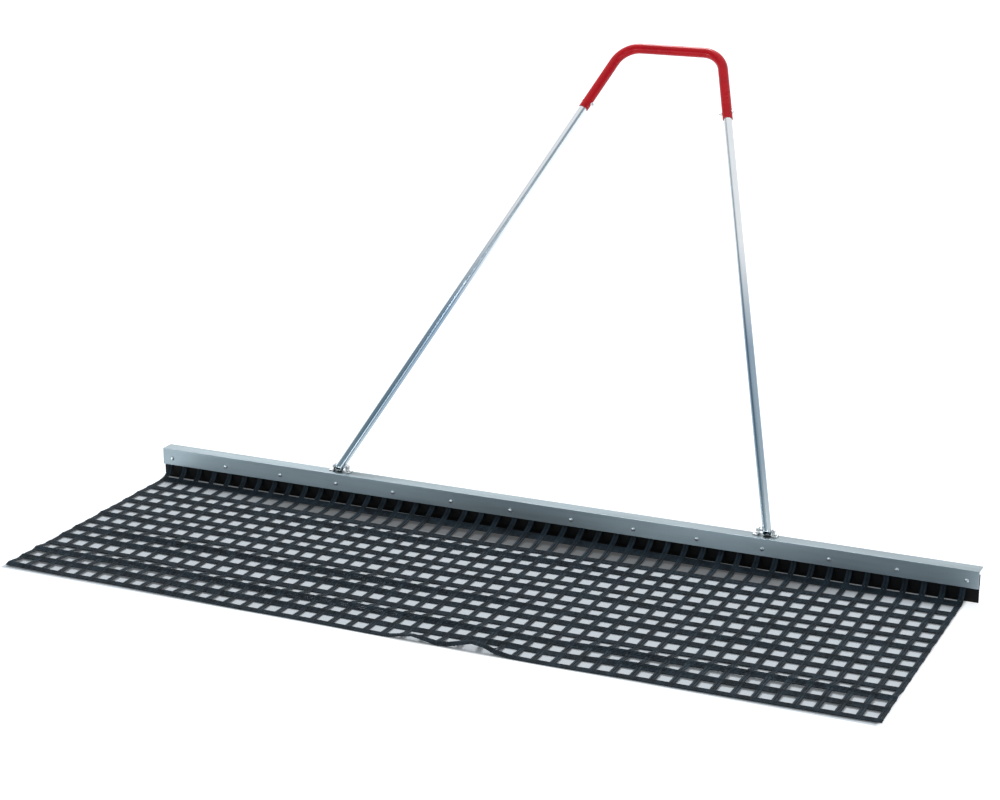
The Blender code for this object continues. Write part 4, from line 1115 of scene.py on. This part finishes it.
class DRAGNET_OT_studio(bpy.types.Operator):
    """Set the pale floor, the soft lights, the world and the camera"""

    bl_idname = "dragnet.studio"
    bl_label = "Studio"

    CAMERA_PLACE = (1.9718, -4.5642, 1.8197)
    CAMERA_TURN = (73.1815, -0.0867, 24.5086)
    LENS = 83.753
    SHIFT = (0.00058, 0.00061)

    FLOOR_HALF_SIZE = 30
    FLOOR_DROP = 0.2 * MM
    # How far before the net the floor starts to turn white
    FRONT_MARGIN = 4 * MM
    # The painted shadow on the floor before the bar: its span along the bar and out from it, and its shade
    PAINTED_SHADOW_ALONG = (-0.75, 0.70)
    PAINTED_SHADOW_OUT = (-103 * MM, 0)
    PAINTED_SHADOW_LEVEL = 0.15

    SUN_FROM = (-0.45, 0.75, 1.1)
    SUN_ANGLE = 22
    # Name, place, point looked at, size and power of each soft box: one at the side, a small one high in
    # front, whose shine runs along the grip and the legs, and two low ones in front, which the face of
    # the bar shows as long soft patches
    SOFT_BOXES = (
        ("side light", (3.4, -2.6, 2.0), (0, 0.2, 0.4), (1.2, 1.6), 16),
        ("front light", (0.9, -3.4, 2.6), (0.05, 0.72, 0.95), (0.4, 0.4), 8),
        ("low light left", (-3.1, -3.2, 0.45), (-0.6, 0, 0.05), (1.4, 0.6), 20),
        ("low light middle", (-0.8, -3.9, 0.4), (0.45, 0, 0.05), (0.9, 0.5), 17),
    )

    def camera(self, scene):
        data = bpy.data.cameras.new("camera")
        data.lens = self.LENS
        data.sensor_width = 36
        data.sensor_fit = "HORIZONTAL"
        data.shift_x, data.shift_y = self.SHIFT
        data.clip_end = 200
        camera = bpy.data.objects.new("camera", data)
        camera.location = self.CAMERA_PLACE
        camera.rotation_euler = [math.radians(a) for a in self.CAMERA_TURN]
        scene.collection.objects.link(camera)
        scene.camera = camera

    def floor(self, scene, colour):
        shape = bmesh.new()
        bmesh.ops.create_grid(shape, x_segments=1, y_segments=1, size=self.FLOOR_HALF_SIZE)
        floor = bpy.data.objects.new("studio_floor", mesh_from("studio_floor", shape))
        floor.location.z = -self.FLOOR_DROP
        scene.collection.objects.link(floor)
        material, tree, shader = new_material("pale studio floor")
        rays = add_node(tree, "ShaderNodeLightPath").outputs
        seen = add_node(
            tree, "ShaderNodeMath", settings=LARGER,
            links={0: rays["Is Camera Ray"], 1: rays["Is Glossy Ray"]})
        # White where the floor is open, from a glow that camera and glossy rays see; in the net's outline the
        # glow is held back, a painted shade in which the floor keeps its own pale grey and the net's shadow
        place = add_node(tree, "ShaderNodeTexCoord").outputs["Object"]
        axes = add_node(tree, "ShaderNodeSeparateXYZ", links={"Vector": place}).outputs
        sizes = scene.drag_net_mesh
        half = (sizes.gaps_across * sizes.pitch_across + 2 * sizes.strand) / 2
        beside = self.outside(tree, axes["X"], sizes.side_shift - half, sizes.side_shift + half)
        beyond = self.outside(tree, axes["Y"], NET_LOW.y - self.FRONT_MARGIN, BAR_HIGH.y)
        away = add_node(tree, "ShaderNodeMath", settings=LARGER, links={0: beside, 1: beyond})
        open_floor = add_node(
            tree, "ShaderNodeMapRange", settings=SMOOTH_STEP,
            values={"From Min": -5 * MM, "From Max": 7 * MM, "To Min": 0.06, "To Max": 0.72},
            links={"Value": away})
        lift = add_node(tree, "ShaderNodeMath", settings=PRODUCT, links={0: seen, 1: open_floor})
        # A painted shadow darkens the floor's first decimetre before the bar, deeper than the shade that the
        # bar and the rubber cast
        middle = add_node(
            tree, "ShaderNodeMapRange", settings=SMOOTH_STEP,
            values={"From Min": -0.2, "From Max": 0.2, "To Min": 0.95, "To Max": 0},
            links={"Value": self.outside(tree, axes["X"], *self.PAINTED_SHADOW_ALONG)})
        near = add_node(
            tree, "ShaderNodeMapRange", settings=SMOOTH_STEP,
            values={"From Min": -15 * MM, "From Max": 5 * MM, "To Min": 1, "To Max": 0},
            links={"Value": self.outside(tree, axes["Y"], *self.PAINTED_SHADOW_OUT)})
        painted_shadow = add_node(tree, "ShaderNodeMath", settings=PRODUCT, links={0: near, 1: middle})
        ground = add_node(
            tree, "ShaderNodeMix", settings=MIX_COLOURS,
            values={"A": (*colour, 1), "B": (*shaded(colour, self.PAINTED_SHADOW_LEVEL), 1)},
            links={"Factor": painted_shadow})
        set_sockets(
            tree, shader,
            values={"Roughness": 0.9, "Specular IOR Level": 0.1, "Emission Color": (1, 1, 1, 1)},
            links={"Base Color": ground, "Emission Strength": lift})
        floor.data.materials.append(material)

    def outside(self, tree, value, low, high):
        """How far a value lies outside a span; below zero inside it."""
        offset = add_node(
            tree, "ShaderNodeMath", settings=DIFFERENCE, values={1: (low + high) / 2}, links={0: value})
        distance = add_node(tree, "ShaderNodeMath", settings={"operation": "ABSOLUTE"}, links={0: offset})
        return add_node(
            tree, "ShaderNodeMath", settings=DIFFERENCE, values={1: (high - low) / 2}, links={0: distance})

    def light(self, scene, name, place, aim, size, power):
        data = bpy.data.lights.new(name, "AREA")
        data.shape = "RECTANGLE"
        data.size, data.size_y = size
        data.energy = power
        lamp = bpy.data.objects.new(name, data)
        lamp.location = place
        lamp.rotation_euler = (Vector(aim) - Vector(place)).to_track_quat("-Z", "Y").to_euler()
        lamp.visible_camera = False
        scene.collection.objects.link(lamp)

    def sun(self, scene, strength):
        data = bpy.data.lights.new("key", "SUN")
        data.angle = math.radians(self.SUN_ANGLE)
        data.energy = strength
        lamp = bpy.data.objects.new("key", data)
        lamp.rotation_euler = (-Vector(self.SUN_FROM)).to_track_quat("-Z", "Y").to_euler()
        scene.collection.objects.link(lamp)

    def world(self, scene, room, strength):
        """White for the camera; metal sees a white backdrop and ceiling, and a grey room in front."""
        world = bpy.data.worlds.new("studio")
        scene.world = world
        world.use_nodes = True
        tree = world.node_tree
        direction = add_node(tree, "ShaderNodeTexCoord").outputs["Generated"]
        axes = add_node(tree, "ShaderNodeSeparateXYZ", links={"Vector": direction}).outputs
        back = add_node(
            tree, "ShaderNodeMapRange", settings=SMOOTH_STEP, values={"From Min": -0.45, "From Max": 0.15},
            links={"Value": axes["Y"]})
        above = add_node(
            tree, "ShaderNodeMapRange", settings=SMOOTH_STEP, values={"From Min": 0.55, "From Max": 0.85},
            links={"Value": axes["Z"]})
        white = add_node(tree, "ShaderNodeMath", settings=LARGER, links={0: back, 1: above})
        rays = add_node(tree, "ShaderNodeLightPath").outputs
        white_seen = add_node(
            tree, "ShaderNodeMath", settings=LARGER, links={0: white, 1: rays["Is Camera Ray"]})
        walls = add_node(
            tree, "ShaderNodeMix", settings=MIX_COLOURS, values={"A": (*room, 1), "B": (1, 1, 1, 1)},
            links={"Factor": white_seen})
        camera_or_glossy = add_node(
            tree, "ShaderNodeMath", settings=LARGER,
            links={0: rays["Is Camera Ray"], 1: rays["Is Glossy Ray"]})
        seen = add_node(
            tree, "ShaderNodeMath", settings=LARGER,
            links={0: camera_or_glossy, 1: rays["Is Transmission Ray"]})
        level = add_node(
            tree, "ShaderNodeMapRange", values={"To Min": strength, "To Max": 1}, links={"Value": seen})
        set_sockets(tree, tree.nodes["Background"], links={"Color": walls, "Strength": level})

    def execute(self, context):
        scene = context.scene
        studio = scene.drag_net_studio
        scene.view_settings.view_transform = "Standard"
        self.camera(scene)
        self.floor(scene, studio.floor)
        self.world(scene, studio.room, studio.sky)
        self.sun(scene, studio.sun)
        for soft_box in self.SOFT_BOXES:
            self.light(scene, *soft_box)
        return {"FINISHED"}


class DRAGNET_PT_panel(bpy.types.Panel):
    """Lists the pieces of the drag net"""

    bl_idname = "DRAGNET_PT_panel"
    bl_label = "Drag net"
    bl_space_type = "VIEW_3D"
    bl_region_type = "UI"
    bl_category = "Drag net"

    def draw(self, context):
        layout = self.layout
        for group in ("drag_net_finishes", "drag_net_mesh", "drag_net_studio"):
            box = layout.box()
            settings = getattr(context.scene, group)
            for name in settings.__annotations__:
                box.prop(settings, name)
        for operator in OPERATORS:
            layout.operator(operator.bl_idname)


OPERATORS = (
    DRAGNET_OT_bar,
    DRAGNET_OT_rubber_strip,
    DRAGNET_OT_net,
    DRAGNET_OT_rivets,
    DRAGNET_OT_pivots,
    DRAGNET_OT_legs,
    DRAGNET_OT_grip,
    DRAGNET_OT_studio,
)
GROUPS = (DragNetFinishes, DragNetMesh, DragNetStudio)


def register():
    for kind in GROUPS + OPERATORS + (DRAGNET_PT_panel,):
        bpy.utils.register_class(kind)
    bpy.types.Scene.drag_net_finishes = bpy.props.PointerProperty(type=DragNetFinishes)
    bpy.types.Scene.drag_net_mesh = bpy.props.PointerProperty(type=DragNetMesh)
    bpy.types.Scene.drag_net_studio = bpy.props.PointerProperty(type=DragNetStudio)


def unregister():
    del bpy.types.Scene.drag_net_studio
    del bpy.types.Scene.drag_net_mesh
    del bpy.types.Scene.drag_net_finishes
    for kind in reversed(GROUPS + OPERATORS + (DRAGNET_PT_panel,)):
        bpy.utils.unregister_class(kind)


def main():
    register()
    bpy.ops.dragnet.studio()
    bpy.ops.dragnet.bar()
    bpy.ops.dragnet.rubber_strip()
    bpy.ops.dragnet.net()
    bpy.ops.dragnet.rivets()
    bpy.ops.dragnet.pivots()
    bpy.ops.dragnet.legs()
    bpy.ops.dragnet.grip()


if __name__ == "__main__":
    main()
